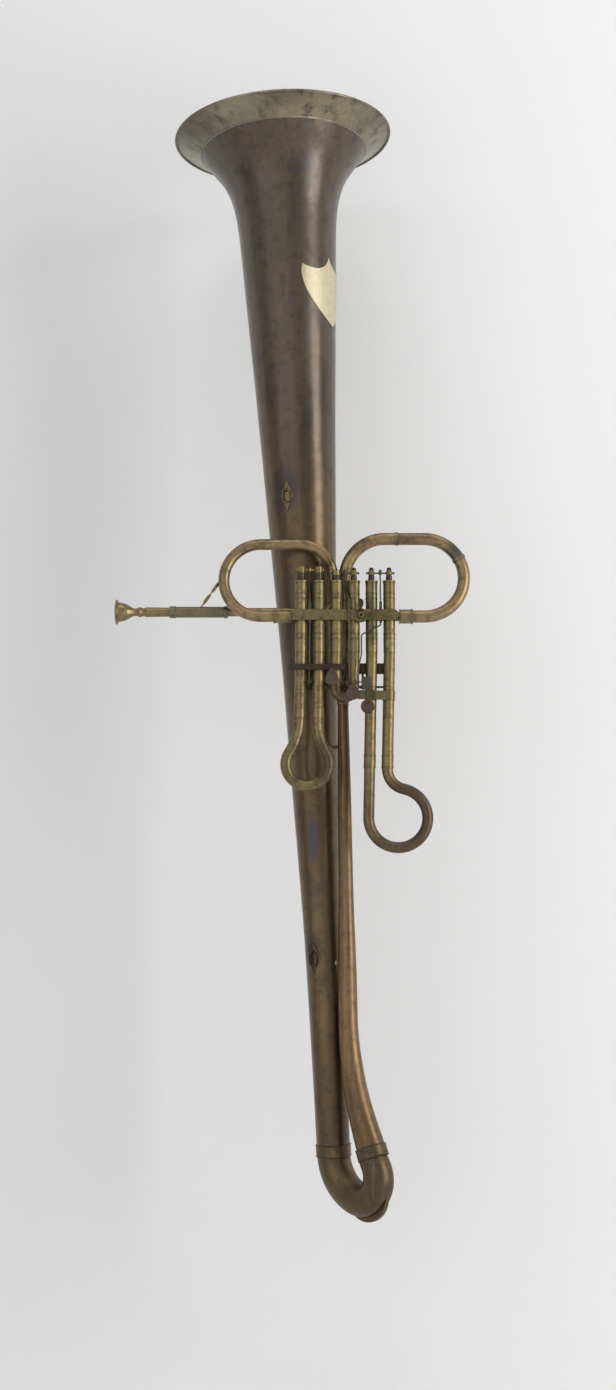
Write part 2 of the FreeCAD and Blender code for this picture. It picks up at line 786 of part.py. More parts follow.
def loop_rings():
    rings = [collar(left_loop_path(), LEFT_RING_DISTANCE, LEFT_LOOP_R)]
    for distance in RIGHT_RING_DISTANCES:
        rings.append(collar(right_loop_path(), distance, RIGHT_LOOP_R))
    return Part.makeCompound(rings)


# Mouthpiece and receiver

def shank_radius(x):
    return SHANK_R - SHANK_TAPER * (x - SHANK_X) / 2


def mouthpiece():
    start = Vector(RIM_X, MOUTHPIPE_Y, MOUTHPIPE_Z)
    cup_end = CUP_LENGTH
    bead = BEAD_X - RIM_X
    shank = SHANK_X - RIM_X
    tip = RECEIVER_LEFT_X - RECEIVER_COLLAR + SHANK_INSERTION - RIM_X
    tip_r = shank_radius(tip + RIM_X)
    lip_r = (RIM_R + CUP_INNER_R) / 2
    points = [
        (CUP_INNER_R, 1.2), (lip_r - 1.2, 0.0), (lip_r + 1.2, 0.0), (RIM_R - 0.6, 0.5),
        (RIM_R, 1.4), (RIM_R, RIM_DEPTH - 0.6), (RIM_R - 0.6, RIM_DEPTH), (CUP_R + 0.5, RIM_DEPTH),
        (CUP_R, RIM_DEPTH + 0.6), (CUP_R - 0.3, 8.0), (CUP_R - 1.5, 13.0), (CUP_R - 3.6, 17.5),
        (CUP_R - 6.2, 21.5), (NECK_R, cup_end), (NECK_R, bead - 3.0), (BEAD_R - 0.8, bead - 2.6),
        (BEAD_R, bead - 1.2), (BEAD_R, bead + 1.2), (BEAD_R - 0.8, bead + 2.6), (NECK_R + 0.3, bead + 3.2),
        (NECK_R + 0.5, shank - 2.0), (SHANK_R, shank), (tip_r, tip), (BACKBORE_R, tip),
        (THROAT_R, cup_end + 8.0), (THROAT_R, cup_end - 2.0), (THROAT_R + 1.2, cup_end - 4.5),
        (CUP_INNER_R * 0.66, 16.5), (CUP_INNER_R * 0.86, 11.5), (CUP_INNER_R * 0.97, 6.0)]
    return turned(points, start, RIGHT)


def mouthpiece_receiver():
    """Socket tube with a collar at its mouth, a ring at its end and a taper for the shank."""
    mouth = RECEIVER_LEFT_X - RECEIVER_COLLAR
    start = Vector(mouth, MOUTHPIPE_Y, MOUTHPIPE_Z)
    length = RECEIVER_RIGHT_X - mouth
    tip = SHANK_INSERTION + 1.0
    mouth_r = shank_radius(mouth) + RUNNING_GAP
    tip_r = shank_radius(mouth + tip) + RUNNING_GAP
    pipe_r = MOUTHPIPE_R + SOLDER_GAP
    pipe_start = length - RECEIVER_OVERLAP - SOLDER_GAP
    outline = [
        (mouth_r, 0), (RECEIVER_COLLAR_R - 0.4, 0), (RECEIVER_COLLAR_R, 0.4),
        (RECEIVER_COLLAR_R, RECEIVER_COLLAR - 0.4), (RECEIVER_COLLAR_R - 0.4, RECEIVER_COLLAR),
        (RECEIVER_R, RECEIVER_COLLAR), (RECEIVER_R, length),
        (RECEIVER_RING_R, length), (RECEIVER_RING_R, length + RECEIVER_RING),
        (pipe_r, length + RECEIVER_RING), (pipe_r, pipe_start),
        (MOUTHPIPE_R - MOUTHPIPE_WALL, pipe_start), (MOUTHPIPE_R - MOUTHPIPE_WALL, tip), (tip_r, tip)]
    return turned(outline, start, RIGHT)


def twisted_stay():
    """Flat strip, twisted along its length, from the receiver up to the left loop."""
    angle = math.radians(RIBBON_HEAD_ANGLE)
    loop_middle = Vector(LEFT_LOOP_X + LEFT_LOOP_BEND_R, (VALVE_Y + LOOP_TOP_Y) / 2, LEFT_LOOP_TOP_Z / 2)
    head = loop_middle + Vector(math.cos(angle), 0, math.sin(angle)) * LEFT_LOOP_BEND_R
    foot = Vector(RIBBON_FOOT_X, MOUTHPIPE_Y, MOUTHPIPE_Z)
    heading = (head - foot).normalize()
    across = heading.cross(BACK).normalize()
    length = head.distanceToPoint(foot)
    steps = int(RIBBON_TURNS * 12)
    sections = []
    for step in range(steps + 1):
        share = step / steps
        half_width = RIBBON_WIDTH / 2
        half_thickness = RIBBON_THICKNESS / 2
        corners = [Vector(-half_width, -half_thickness, 0), Vector(half_width, -half_thickness, 0),
                   Vector(half_width, half_thickness, 0), Vector(-half_width, half_thickness, 0)]
        section = Part.makePolygon(corners + corners[:1])
        base = Rotation(across, heading.cross(across), heading, "ZXY")
        twist = Rotation(UP, 360 * RIBBON_TURNS * share)
        section.Placement = Placement(foot + heading * (length * share), base.multiply(twist))
        sections.append(section)
    ribbon = Part.makeLoft(sections, True, False)
    receiver = cylinder(Vector(RECEIVER_LEFT_X, MOUTHPIPE_Y, MOUTHPIPE_Z), RIGHT,
                        RECEIVER_RIGHT_X - RECEIVER_LEFT_X, RECEIVER_R + SOLDER_GAP)
    loop = swept(left_loop_path(), LEFT_LOOP_R + SOLDER_GAP)
    pieces = ribbon.cut([receiver, loop]).Solids
    return max(pieces, key=lambda piece: piece.Volume)


# Front plate and lyre socket

def casing_cores(rise):
    """Filled casings, used to cut what is soldered to them."""
    length = CASING_TOP_Z - CASING_FOOT_Z
    return [cylinder(valve_spot(number, CASING_FOOT_Z), UP, length, CASING_R + rise)
            for number in range(2 * VALVE_COUNT)]


def front_plate():
    """Bar soldered across the fronts of all the casings, rounded at its right end."""
    half_height = (PLATE_TOP_Z - PLATE_BOTTOM_Z) / 2
    middle_z = (PLATE_TOP_Z + PLATE_BOTTOM_Z) / 2
    end_x = PLATE_RIGHT_X - half_height
    bar = block(Vector(PLATE_LEFT_X, SOCKET_STAND, PLATE_BOTTOM_Z),
                Vector(end_x, PLATE_BACK_Y, PLATE_TOP_Z))
    end = cylinder(Vector(end_x, SOCKET_STAND, middle_z), BACK, PLATE_THICKNESS, half_height)
    hole = cylinder(Vector(0, 0, 0), BACK, VALVE_Y, SOCKET_SPIGOT_R + SOLDER_GAP)
    return bar.fuse(end).removeSplitter().cut(casing_cores(SOLDER_GAP) + [hole])


def lyre_screw_y():
    return (SOCKET_STAND - SOCKET_DISC) / 2


def lyre_socket():
    """Boss on a disc, with a through bore for a lyre's stem and a tapped hole for its screw."""
    disc_y = SOCKET_STAND - SOCKET_DISC - SOLDER_GAP
    outline = [
        (SOCKET_BORE_R, 0), (SOCKET_R - 0.5, 0), (SOCKET_R, 0.5), (SOCKET_R, disc_y),
        (SOCKET_DISC_R, disc_y), (SOCKET_DISC_R, disc_y + SOCKET_DISC),
        (SOCKET_SPIGOT_R, disc_y + SOCKET_DISC), (SOCKET_SPIGOT_R, PLATE_BACK_Y),
        (SOCKET_BORE_R, PLATE_BACK_Y)]
    socket = turned(outline, Vector(0, 0, 0), BACK)
    return socket.cut(cylinder(Vector(0, lyre_screw_y(), 0), UP, SOCKET_R + 1, SCREW_R + RUNNING_GAP))


def lyre_screw():
    """Thumb screw with a flat oval head."""
    y = lyre_screw_y()
    stem = cylinder(Vector(0, y, SCREW_TIP_Z), UP, SCREW_NECK_Z + 1 - SCREW_TIP_Z, SCREW_R)
    half_width = SCREW_HEAD_WIDTH / 2
    half_height = SCREW_HEAD_HEIGHT / 2
    middle = Vector(0, y, SCREW_NECK_Z + half_height)
    rim = Part.Ellipse(Vector(0, 0, 0), half_height, half_width).toShape()
    face = Part.Face(Part.Wire(rim))
    face.Placement = Placement(middle - BACK * (SCREW_HEAD_THICKNESS / 2),
                               Rotation(UP, RIGHT, BACK, "ZXY"))
    head = face.extrude(BACK * SCREW_HEAD_THICKNESS)
    collar_r = SCREW_HEAD_THICKNESS / 2 + 0.4
    neck = cylinder(Vector(0, y, SOCKET_R + 1.5), UP, SCREW_NECK_Z + 1 - SOCKET_R - 1.5, collar_r)
    return stem.fuse([head, neck])


# Valve casings, links and pistons

def casing(number):
    """Casing tube with a lip, four turned bands and a port on each side."""
    length = CASING_TOP_Z - CASING_FOOT_Z
    tube = ring(valve_spot(number, CASING_FOOT_Z), UP, length, CASING_R, CASING_BORE_R)
    lip = ring(valve_spot(number, CASING_TOP_Z - CASING_LIP), UP, CASING_LIP, CASING_LIP_R, CASING_BORE_R)
    parts = [lip]
    for height in CASING_BANDS:
        start = valve_spot(number, height - CASING_BAND / 2)
        parts.append(ring(start, UP, CASING_BAND, CASING_R + CASING_BAND_RISE, CASING_BORE_R))
    port = cylinder(valve_spot(number, 0) - RIGHT * VALVE_PITCH / 2, RIGHT, VALVE_PITCH, LINK_BORE_R)
    return tube.fuse(parts).cut(port)


def valve_casings(valve):
    return Part.makeCompound([casing(2 * valve), casing(2 * valve + 1)])


def windway_links():
    """Short tubes that join the casings, and a stub at each end."""
    ends = [LEFT_LINK_X] + [casing_x(number) for number in range(2 * VALVE_COUNT)] + [RIGHT_LINK_X]
    cores = casing_cores(SOLDER_GAP)
    links = []
    for left, right in zip(ends, ends[1:]):
        link = ring(Vector(left, VALVE_Y, 0), RIGHT, right - left, LINK_R, LINK_BORE_R).cut(cores)
        links.append(link.Solids[0])
    return Part.makeCompound(links)


def knob_height(valve):
    return KNOB_HEIGHTS[0] if valve == 0 else KNOB_HEIGHTS[1]


def ball_topped(number):
    """The three casings on the right carry ball knobs with acorn nuts."""
    return number >= VALVE_COUNT


def knob_foot_z(valve):
    return CROSSHEAD_HEIGHTS[valve] - knob_height(valve) / 2


def piston(number):
    """Plunger with a waist for the open way, a bored core for the way down and a collared stem."""
    valve = number // 2
    stem_top = knob_foot_z(valve) - PISTON_FOOT_Z
    waist_low = -PISTON_WAIST / 2 - PISTON_FOOT_Z
    waist_high = PISTON_WAIST / 2 - PISTON_FOOT_Z
    port_z = VALVE_TRAVEL - PISTON_FOOT_Z
    piston_r = CASING_BORE_R - RUNNING_GAP
    top = PISTON_TOP_Z - PISTON_FOOT_Z
    collar_r = BALL_STEM_COLLAR_R if ball_topped(number) else STEM_COLLAR_R
    collar_foot = STEM_COLLAR_Z - PISTON_FOOT_Z
    outline = [
        (PISTON_PORT_R, 0), (piston_r, 0), (piston_r, waist_low), (PISTON_WAIST_R, waist_low),
        (PISTON_WAIST_R, waist_high), (piston_r, waist_high), (piston_r, top), (STEM_R, top),
        (STEM_R, collar_foot), (collar_r, collar_foot), (collar_r, stem_top), (0, stem_top),
        (0, port_z + PISTON_PORT_R), (PISTON_PORT_R, port_z)]
    plunger = turned(outline, valve_spot(number, PISTON_FOOT_Z), UP)
    side = RIGHT if number % 2 else RIGHT * -1
    return plunger.cut(cylinder(valve_spot(number, VALVE_TRAVEL), side, CASING_R, PISTON_PORT_R))


def pistons(valve):
    return Part.makeCompound([piston(2 * valve), piston(2 * valve + 1)])


def knob(number):
    """Finger-button shaped nut on a piston stem, bored for the crosshead rod."""
    valve = number // 2
    height = knob_height(valve)
    start = valve_spot(number, knob_foot_z(valve) + SOLDER_GAP)
    if ball_topped(number):
        half = height / 2
        outline = [(0, 0), (BALL_KNOB_R * 0.66, 0), (BALL_KNOB_R * 0.92, half * 0.45), (BALL_KNOB_R, half),
                   (BALL_KNOB_R * 0.92, half * 1.55), (ACORN_R, height), (ACORN_R, height + ACORN_HEIGHT * 0.5),
                   (ACORN_R * 0.75, height + ACORN_HEIGHT * 0.85), (0, height + ACORN_HEIGHT)]
    else:
        outline = [(0, 0), (KNOB_R - 0.5, 0), (KNOB_R, 0.5), (KNOB_R, height - 0.8),
                   (KNOB_R - 0.8, height), (0, height + 0.3)]
    solid = turned(outline, start, UP)
    rod_way = cylinder(valve_spot(number, CROSSHEAD_HEIGHTS[valve]) - RIGHT * VALVE_PITCH, RIGHT,
                       2 * VALVE_PITCH, CROSSHEAD_ROD_R + SOLDER_GAP)
    return solid.cut(rod_way)


def piston_knobs(valve):
    return Part.makeCompound([knob(2 * valve), knob(2 * valve + 1)])


def crosshead(valve):
    """Rod through both knobs, with a nut at each end and a hub for the pull rod."""
    z = CROSSHEAD_HEIGHTS[valve]
    left = valve_spot(2 * valve, z)
    overhang = KNOB_R + 1.8
    rod = cylinder(left - RIGHT * overhang, RIGHT, VALVE_PITCH + 2 * overhang, CROSSHEAD_ROD_R)
    nut_r = CROSSHEAD_ROD_R + 0.8
    nuts = []
    for start_x in (left.x - overhang, left.x + VALVE_PITCH + overhang - 1.6):
        nuts.append(cylinder(Vector(start_x, VALVE_Y, z), RIGHT, 1.6, nut_r))
    half = CROSSHEAD_HUB / 2
    middle = Vector(pair_x(valve), VALVE_Y, z)
    hub = cylinder(middle - UP * half, UP, CROSSHEAD_HUB, half)
    way = cylinder(middle - UP * CROSSHEAD_HUB, UP, 2 * CROSSHEAD_HUB, PULL_WIRE_R + SOLDER_GAP)
    return rod.fuse(nuts + [hub]).cut(way)


def stud_reach(valve):
    """Distance from the axle forward to the pull rod's stud."""
    return AXLE_Y - (STRIP_Y if valve == 0 else FRONT_ROD_Y)


def lever_rest_angle(valve):
    """Angle of the lever above level at rest; it goes as far below when pressed."""
    return math.atan(VALVE_TRAVEL / 2 / stud_reach(valve))


def stud_z():
    return AXLE_Z + VALVE_TRAVEL / 2


def rod_foot_x(valve):
    return (pair_x(0) - FIRST_ROD_SHIFT, FRONT_ROD_X, THIRD_ROD_X)[valve]


def pull_rod(valve):
    """Wire from the crosshead, flattened where it passes the plate, with an eye for the stud."""
    z = CROSSHEAD_HEIGHTS[valve]
    x = pair_x(valve)
    top = z + CROSSHEAD_HUB / 2 + 3.0
    foot_x = rod_foot_x(valve)
    foot_y = STRIP_Y if valve == 0 else FRONT_ROD_Y
    strip_y = FRONT_ROD_Y if valve == 1 else STRIP_Y
    strip_x = FRONT_ROD_X if valve == 1 else x
    shoulder = PULL_STRIP_TOP_Z + 16
    eye_top = stud_z() + EYE_R * 0.6
    upper = swept_rod([Vector(x, VALVE_Y, top), Vector(x, VALVE_Y, shoulder),
                       Vector(strip_x, strip_y, PULL_STRIP_TOP_Z + 4),
                       Vector(strip_x, strip_y, PULL_STRIP_TOP_Z - 1)], [4, 3], PULL_WIRE_R)
    strip = block(Vector(strip_x - PULL_STRIP_WIDTH / 2, strip_y - PULL_STRIP / 2, PULL_STRIP_FOOT_Z),
                  Vector(strip_x + PULL_STRIP_WIDTH / 2, strip_y + PULL_STRIP / 2, PULL_STRIP_TOP_Z))
    start = Vector(strip_x, strip_y, PULL_STRIP_FOOT_Z + 1)
    if valve == 2:
        cross_x = foot_x + 5
        points = [start, Vector(strip_x, strip_y, PULL_STRIP_FOOT_Z - 3),
                  Vector(strip_x - 4, foot_y, PULL_STRIP_FOOT_Z - 6),
                  Vector(cross_x, foot_y, PULL_STRIP_FOOT_Z - 17), Vector(cross_x, foot_y, -55),
                  Vector(foot_x, foot_y, -78), Vector(foot_x, foot_y, eye_top)]
        lower = swept_rod(points, [2, 2, 6, 12, 12], PULL_WIRE_R)
    else:
        end = Vector(foot_x, foot_y, eye_top)
        lower = swept(Part.Wire(Part.makeLine(start, end)), PULL_WIRE_R)
    nut = cylinder(Vector(x, VALVE_Y, z + CROSSHEAD_HUB / 2 + SOLDER_GAP), UP, 2.0, PULL_WIRE_R + 0.9)
    return upper.fuse([strip, lower, nut, pull_rod_eye(valve, foot_x, foot_y)]).cut(stud_slot(valve))


def pull_rod_eye(valve, x, y):
    start = Vector(x - EYE_THICKNESS / 2, y, stud_z())
    return cylinder(start, RIGHT, EYE_THICKNESS, EYE_R)


def stud_slot(valve):
    """Slot that lets the stud swing on its arc while the rod runs straight."""
    reach = stud_reach(valve)
    swing = reach / math.cos(lever_rest_angle(valve)) - reach
    x = rod_foot_x(valve) - EYE_THICKNESS
    front = AXLE_Y - reach - swing
    slot_r = STUD_R + EYE_GAP
    ends = [cylinder(Vector(x, y, stud_z()), RIGHT, 2 * EYE_THICKNESS, slot_r)
            for y in (front, AXLE_Y - reach)]
    middle = block(Vector(x, front, stud_z() - slot_r),
                   Vector(x + 2 * EYE_THICKNESS, AXLE_Y - reach, stud_z() + slot_r))
    return ends[0].fuse([ends[1], middle])


# Levers, touches, springs and their axle

def arm_x(valve):
    """The arm that reaches forward to the stud, beside or between the tubes."""
    beside_rod = rod_foot_x(0) + EYE_THICKNESS / 2 + LEVER_CLEARANCE + LEVER_ROD_R
    return (beside_rod, pair_x(1), casing_x(3) + VALVE_PITCH / 2)[valve]


def hub_ends(valve):
    if valve == 0:
        return arm_x(0) - 3.0, casing_x(1) + VALVE_PITCH / 2 + 2.4
    return arm_x(valve) - LEVER_HUB / 2, arm_x(valve) + LEVER_HUB / 2


def touch_frame(touch):
    """Front face normal and lengthwise direction of a touch plate."""
    tilt = math.radians(TOUCH_TILT)
    normal = Vector(0, -math.cos(tilt), math.sin(tilt))
    length = Vector(0, math.sin(tilt), math.cos(tilt))
    return normal, length


def touch_place(valve):
    return (FIRST_TOUCH, SECOND_TOUCH, THIRD_TOUCH)[valve]


def touch_pad_centre(valve):
    """Middle of the pad soldered to the back of a touch plate."""
    normal = touch_frame(touch_place(valve))[0]
    return touch_place(valve) - normal * (TOUCH_THICKNESS / 2 + SOLDER_GAP + TOUCH_PAD / 2)


def touch_pad(valve):
    normal = touch_frame(touch_place(valve))[0]
    start = touch_pad_centre(valve) - normal * (TOUCH_PAD / 2)
    return cylinder(start, normal, TOUCH_PAD, 4.2)


def teardrop_outline(width, length):
    """Rounded triangle with its point up, drawn about the middle of its length."""
    half = width / 2
    low = -length / 2
    tip = width * 0.16
    edges = [
        arc_edge((-half, low + half * 0.82, 0), (0, low, 0), (half, low + half * 0.82, 0)),
        arc_edge((half, low + half * 0.82, 0), (half * 0.72, length * 0.13, 0), (tip, length / 2 - tip, 0)),
        arc_edge((tip, length / 2 - tip, 0), (0, length / 2, 0), (-tip, length / 2 - tip, 0)),
        arc_edge((-tip, length / 2 - tip, 0), (-half * 0.72, length * 0.13, 0), (-half, low + half * 0.82, 0))]
    return Part.Wire(edges)


def touch(valve):
    """Finger plate, tilted back, with a shallow dish in its face."""
    place = touch_place(valve)
    normal, length = touch_frame(place)
    if valve == 2:
        wire = Part.Wire(Part.Ellipse(Vector(0, 0, 0), ROUND_TOUCH_LENGTH / 2, ROUND_TOUCH_WIDTH / 2).toShape())
        turn = Rotation(length, normal.cross(length), normal, "ZXY")
    else:
        wire = teardrop_outline(TEARDROP_WIDTHS[valve], TEARDROP_LENGTHS[valve])
        turn = Rotation(RIGHT, length, normal, "ZXY")
    face = Part.Face(wire)
    face.Placement = Placement(place - normal * (TOUCH_THICKNESS / 2), turn)
    plate = face.extrude(normal * TOUCH_THICKNESS)
    sphere_r = ROUND_TOUCH_WIDTH * 3
    dish = Part.makeSphere(sphere_r, place + normal * (TOUCH_THICKNESS / 2 + sphere_r - TOUCH_DISH))
    return plate.cut(dish)


def lever(valve):
    """Hub on the axle, arm to the stud, heel for the spring and a rod out to the touch."""
    x = arm_x(valve)
    left, right = hub_ends(valve)
    hub = cylinder(Vector(left, AXLE_Y, AXLE_Z), RIGHT, right - left, LEVER_HUB_R)
    slope = math.tan(lever_rest_angle(valve))
    stud_y = AXLE_Y - stud_reach(valve)
    axle_point = Vector(x, AXLE_Y, AXLE_Z)
    pad = touch_pad_centre(valve)
    before_pad = pad + BACK * 7
    if valve == 0:
        touch_arm_x = casing_x(1) + VALVE_PITCH / 2
        front_y = stud_y - 3
        arm = swept_rod([axle_point, Vector(x, front_y, AXLE_Z + (AXLE_Y - front_y) * slope)], [], LEVER_ROD_R)
        bend = Vector(touch_arm_x, 2, AXLE_Z + (AXLE_Y - 2) * slope)
        reach = swept_rod([Vector(touch_arm_x, AXLE_Y, AXLE_Z), bend, before_pad, pad], [8, 4], LEVER_ROD_R)
        parts = [arm, reach]
    elif valve == 1:
        bend = Vector(x, -1, AXLE_Z + (AXLE_Y + 1) * slope)
        parts = [swept_rod([axle_point, bend, before_pad, pad], [6, 4], LEVER_ROD_R)]
    else:
        shin_back = SHIN_Y + SHIN_THICKNESS / 2
        end = Vector(x, shin_back, AXLE_Z + (AXLE_Y - shin_back) * slope)
        shin = block(Vector(SHIN_LEFT_X, SHIN_Y - SHIN_THICKNESS / 2, SHIN_FOOT_Z),
                     Vector(SHIN_RIGHT_X, shin_back, SHIN_TOP_Z))
        middle = Vector((SHIN_LEFT_X + SHIN_RIGHT_X) / 2, shin_back + LEVER_ROD_R / 2, SHIN_FOOT_Z)
        drop = swept_rod([middle + UP * 8, middle - UP * 6, before_pad, pad], [6, 4], LEVER_ROD_R)
        parts = [swept_rod([axle_point, end], [], LEVER_ROD_R), shin, drop]
    parts += [stud(valve, x, stud_y), heel(valve), touch_pad(valve)]
    solid = hub.fuse(parts)
    bore = cylinder(Vector(left - 1, AXLE_Y, AXLE_Z), RIGHT, right - left + 2, AXLE_R + RUNNING_GAP)
    return solid.cut(bore)


def stud(valve, x, y):
    """Pin from the arm through the pull rod's eye, with a riveted head."""
    eye_x = rod_foot_x(valve)
    towards = 1 if eye_x > x else -1
    far = eye_x + towards * (EYE_THICKNESS / 2 + EYE_GAP)
    axis = RIGHT * towards
    start = Vector(x, y, stud_z())
    pin = cylinder(start, axis, abs(far - x) + STUD_HEAD, STUD_R)
    return pin.fuse(cylinder(Vector(far, y, stud_z()), axis, STUD_HEAD, STUD_HEAD_R))


def heel_x(valve):
    return FIRST_HEEL_X if valve == 0 else arm_x(valve)


def heel_tip():
    """Where the spring bears on every heel at rest, in Y and Z."""
    angle = math.radians(HEEL_ANGLE)
    return AXLE_Y + HEEL_REACH * math.cos(angle), AXLE_Z + HEEL_REACH * math.sin(angle)


def heel(valve):
    """Tab on the hub that the blade spring presses on."""
    x = heel_x(valve)
    tab = block(Vector(x - HEEL_WIDTH / 2, 0, -HEEL_THICKNESS / 2),
                Vector(x + HEEL_WIDTH / 2, HEEL_REACH, HEEL_THICKNESS / 2))
    tab.Placement = Placement(Vector(0, AXLE_Y, AXLE_Z), Rotation(RIGHT, HEEL_ANGLE))
    return tab


def lever_axle():
    rod = cylinder(Vector(AXLE_LEFT_X, AXLE_Y, AXLE_Z), RIGHT, AXLE_RIGHT_X - AXLE_LEFT_X, AXLE_R)
    nuts = [cylinder(Vector(x, AXLE_Y, AXLE_Z), RIGHT, AXLE_NUT, AXLE_NUT_R)
            for x in (AXLE_LEFT_X, AXLE_RIGHT_X - AXLE_NUT)]
    return rod.fuse(nuts)


def spring_screw_spot(valve):
    return Vector(heel_x(valve), RACK_BACK_Y, (RACK_TOP_Z + RACK_FOOT_Z) / 2 - 1)


def valve_spring(valve):
    """Blade screwed to the back of the rack, curved down onto the lever's heel."""
    x = heel_x(valve)
    y = RACK_BACK_Y + SOLDER_GAP + SPRING_THICKNESS / 2
    top = RACK_TOP_Z - 3
    tip_y, tip_z = heel_tip()
    rise_y = tip_y - y
    rise_z = RACK_FOOT_Z - (tip_z + SPRING_THICKNESS / 2 + HEEL_THICKNESS / 2 + SOLDER_GAP)
    bend_r = (rise_y ** 2 + rise_z ** 2) / (2 * rise_y)
    sweep = math.asin(rise_z / bend_r)
    edges = []
    half = SPRING_THICKNESS / 2

    def on_arc(radius, angle):
        return Vector(0, y + bend_r - radius * math.cos(angle), RACK_FOOT_Z - radius * math.sin(angle))

    inner, outer = bend_r - half, bend_r + half
    edges.append(Part.makeLine(Vector(0, y - half, top), Vector(0, y + half, top)))
    edges.append(Part.makeLine(Vector(0, y + half, top), on_arc(inner, 0)))
    edges.append(Part.Arc(on_arc(inner, 0), on_arc(inner, sweep / 2), on_arc(inner, sweep)).toShape())
    edges.append(Part.makeLine(on_arc(inner, sweep), on_arc(outer, sweep)))
    edges.append(Part.Arc(on_arc(outer, sweep), on_arc(outer, sweep / 2), on_arc(outer, 0)).toShape())
    edges.append(Part.makeLine(on_arc(outer, 0), Vector(0, y - half, top)))
    face = Part.Face(Part.Wire(edges))
    face.translate(RIGHT * (x - SPRING_WIDTH / 2))
    blade = face.extrude(RIGHT * SPRING_WIDTH)
    return blade.cut(cylinder(spring_screw_spot(valve) - BACK, BACK, 4, SPRING_SCREW_R + RUNNING_GAP))


def spring_screws():
    screws = []
    for valve in range(VALVE_COUNT):
        spot = spring_screw_spot(valve)
        head = spot + BACK * (SPRING_THICKNESS + 2 * SOLDER_GAP)
        shank_length = RACK_THICKNESS - SOLDER_GAP
        shank = cylinder(spot - BACK * shank_length, BACK, shank_length + SPRING_THICKNESS + 0.5, SPRING_SCREW_R)
        screws.append(shank.fuse(cylinder(head, BACK, SPRING_SCREW_HEAD, SPRING_SCREW_HEAD_R)))
    return Part.makeCompound(screws)


# Rack, rail, band and slide legs

def rear_rack():
    """Bar behind the slide legs, with lugs that carry the lever axle."""
    bar = block(Vector(RACK_LEFT_X, RACK_FRONT_Y, RACK_FOOT_Z), Vector(RACK_RIGHT_X, RACK_BACK_Y, RACK_TOP_Z))
    lugs = [block(Vector(x - LUG_THICKNESS / 2, LUG_FRONT_Y, LUG_FOOT_Z),
                  Vector(x + LUG_THICKNESS / 2, LUG_BACK_Y, RACK_FOOT_Z)) for x in LUG_XS]
    shelves = [block(Vector(x - LUG_THICKNESS / 2, RACK_FRONT_Y, RACK_FOOT_Z - 1),
                     Vector(x + LUG_THICKNESS / 2, LUG_BACK_Y, RACK_FOOT_Z + 3)) for x in LUG_XS]
    holes = [cylinder(Vector(AXLE_LEFT_X, AXLE_Y, AXLE_Z), RIGHT, AXLE_RIGHT_X - AXLE_LEFT_X,
                      AXLE_R + RUNNING_GAP)]
    for valve in range(VALVE_COUNT):
        spot = spring_screw_spot(valve) - BACK * RACK_THICKNESS
        holes.append(cylinder(spot, BACK, RACK_THICKNESS, SPRING_SCREW_R + RUNNING_GAP))
    return bar.fuse(lugs + shelves).cut(holes)


def stop_rail():
    """Bar across the fronts of the first three slide legs, notched for the first pull rod."""
    back_y = VALVE_Y - LEG_R - SOLDER_GAP
    bar = block(Vector(RAIL_LEFT_X, back_y - RAIL_THICKNESS, RAIL_FOOT_Z),
                Vector(RAIL_RIGHT_X, back_y, RAIL_TOP_Z))
    notch_start = Vector(rod_foot_x(0), STRIP_Y, RAIL_FOOT_Z)
    return bar.cut(cylinder(notch_start, UP, RAIL_TOP_Z - RAIL_FOOT_Z, RAIL_NOTCH_R))


def clamp_band():
    """Band round the last slide leg, with a tail across the front of the leg beside it."""
    length = BAND_TOP_Z - BAND_FOOT_Z
    inner_r = LEG_R + SOLDER_GAP
    outer_r = inner_r + BAND_THICKNESS
    last = 2 * VALVE_COUNT - 1
    hoop = ring(valve_spot(last, BAND_FOOT_Z), UP, length, outer_r, inner_r)
    tail = block(Vector(BAND_LEFT_X, VALVE_Y - outer_r, BAND_FOOT_Z),
                 Vector(casing_x(last), VALVE_Y - inner_r, BAND_TOP_Z))
    bore = cylinder(valve_spot(last, BAND_FOOT_Z), UP, length, inner_r)
    return leaned(hoop.fuse(tail.cut(bore)), VALVE_COUNT - 1)


def leaned(shape, valve):
    """Tipped to the left about the foot of a valve's casings, as the slides are."""
    shape.rotate(Vector(pair_x(valve), VALVE_Y, CASING_FOOT_Z), BACK, SLIDE_LEAN)
    return shape


def slide_legs(valve):
    """Outer tubes below the casings, which the crook draws out of."""
    foot = LEG_FEET_Z[valve]
    above = block(Vector(FIRST_CASING_X - VALVE_PITCH, 0, CASING_FOOT_Z - SOLDER_GAP),
                  Vector(FIRST_CASING_X + 2 * VALVE_COUNT * VALVE_PITCH, 2 * VALVE_Y, 0))
    legs = []
    for number in (2 * valve, 2 * valve + 1):
        leg = ring(valve_spot(number, foot), UP, CASING_FOOT_Z + 1 - foot, LEG_R, LEG_BORE_R)
        legs.append(leaned(leg, valve).cut(above))
    return Part.makeCompound(legs)


def crook_socket(valve, number):
    """Male slide tube, ferrule and beads at one end of a crook."""
    top = LEG_FEET_Z[valve] - SLIDE_END_GAP
    length = FERRULE_LENGTHS[valve]
    start = valve_spot(number, top - length)
    bead_r = FERRULE_R + FERRULE_BEAD_RISE
    outline = [
        (STOCKING_BORE_R, 0), (bead_r, 0), (bead_r, FERRULE_BEAD), (FERRULE_R, FERRULE_BEAD),
        (FERRULE_R, length - FERRULE_BEAD), (bead_r, length - FERRULE_BEAD), (bead_r, length),
        (STOCKING_R, length), (STOCKING_R, length + STOCKING_LENGTHS[valve]),
        (STOCKING_BORE_R, length + STOCKING_LENGTHS[valve])]
    return turned(outline, start, UP)


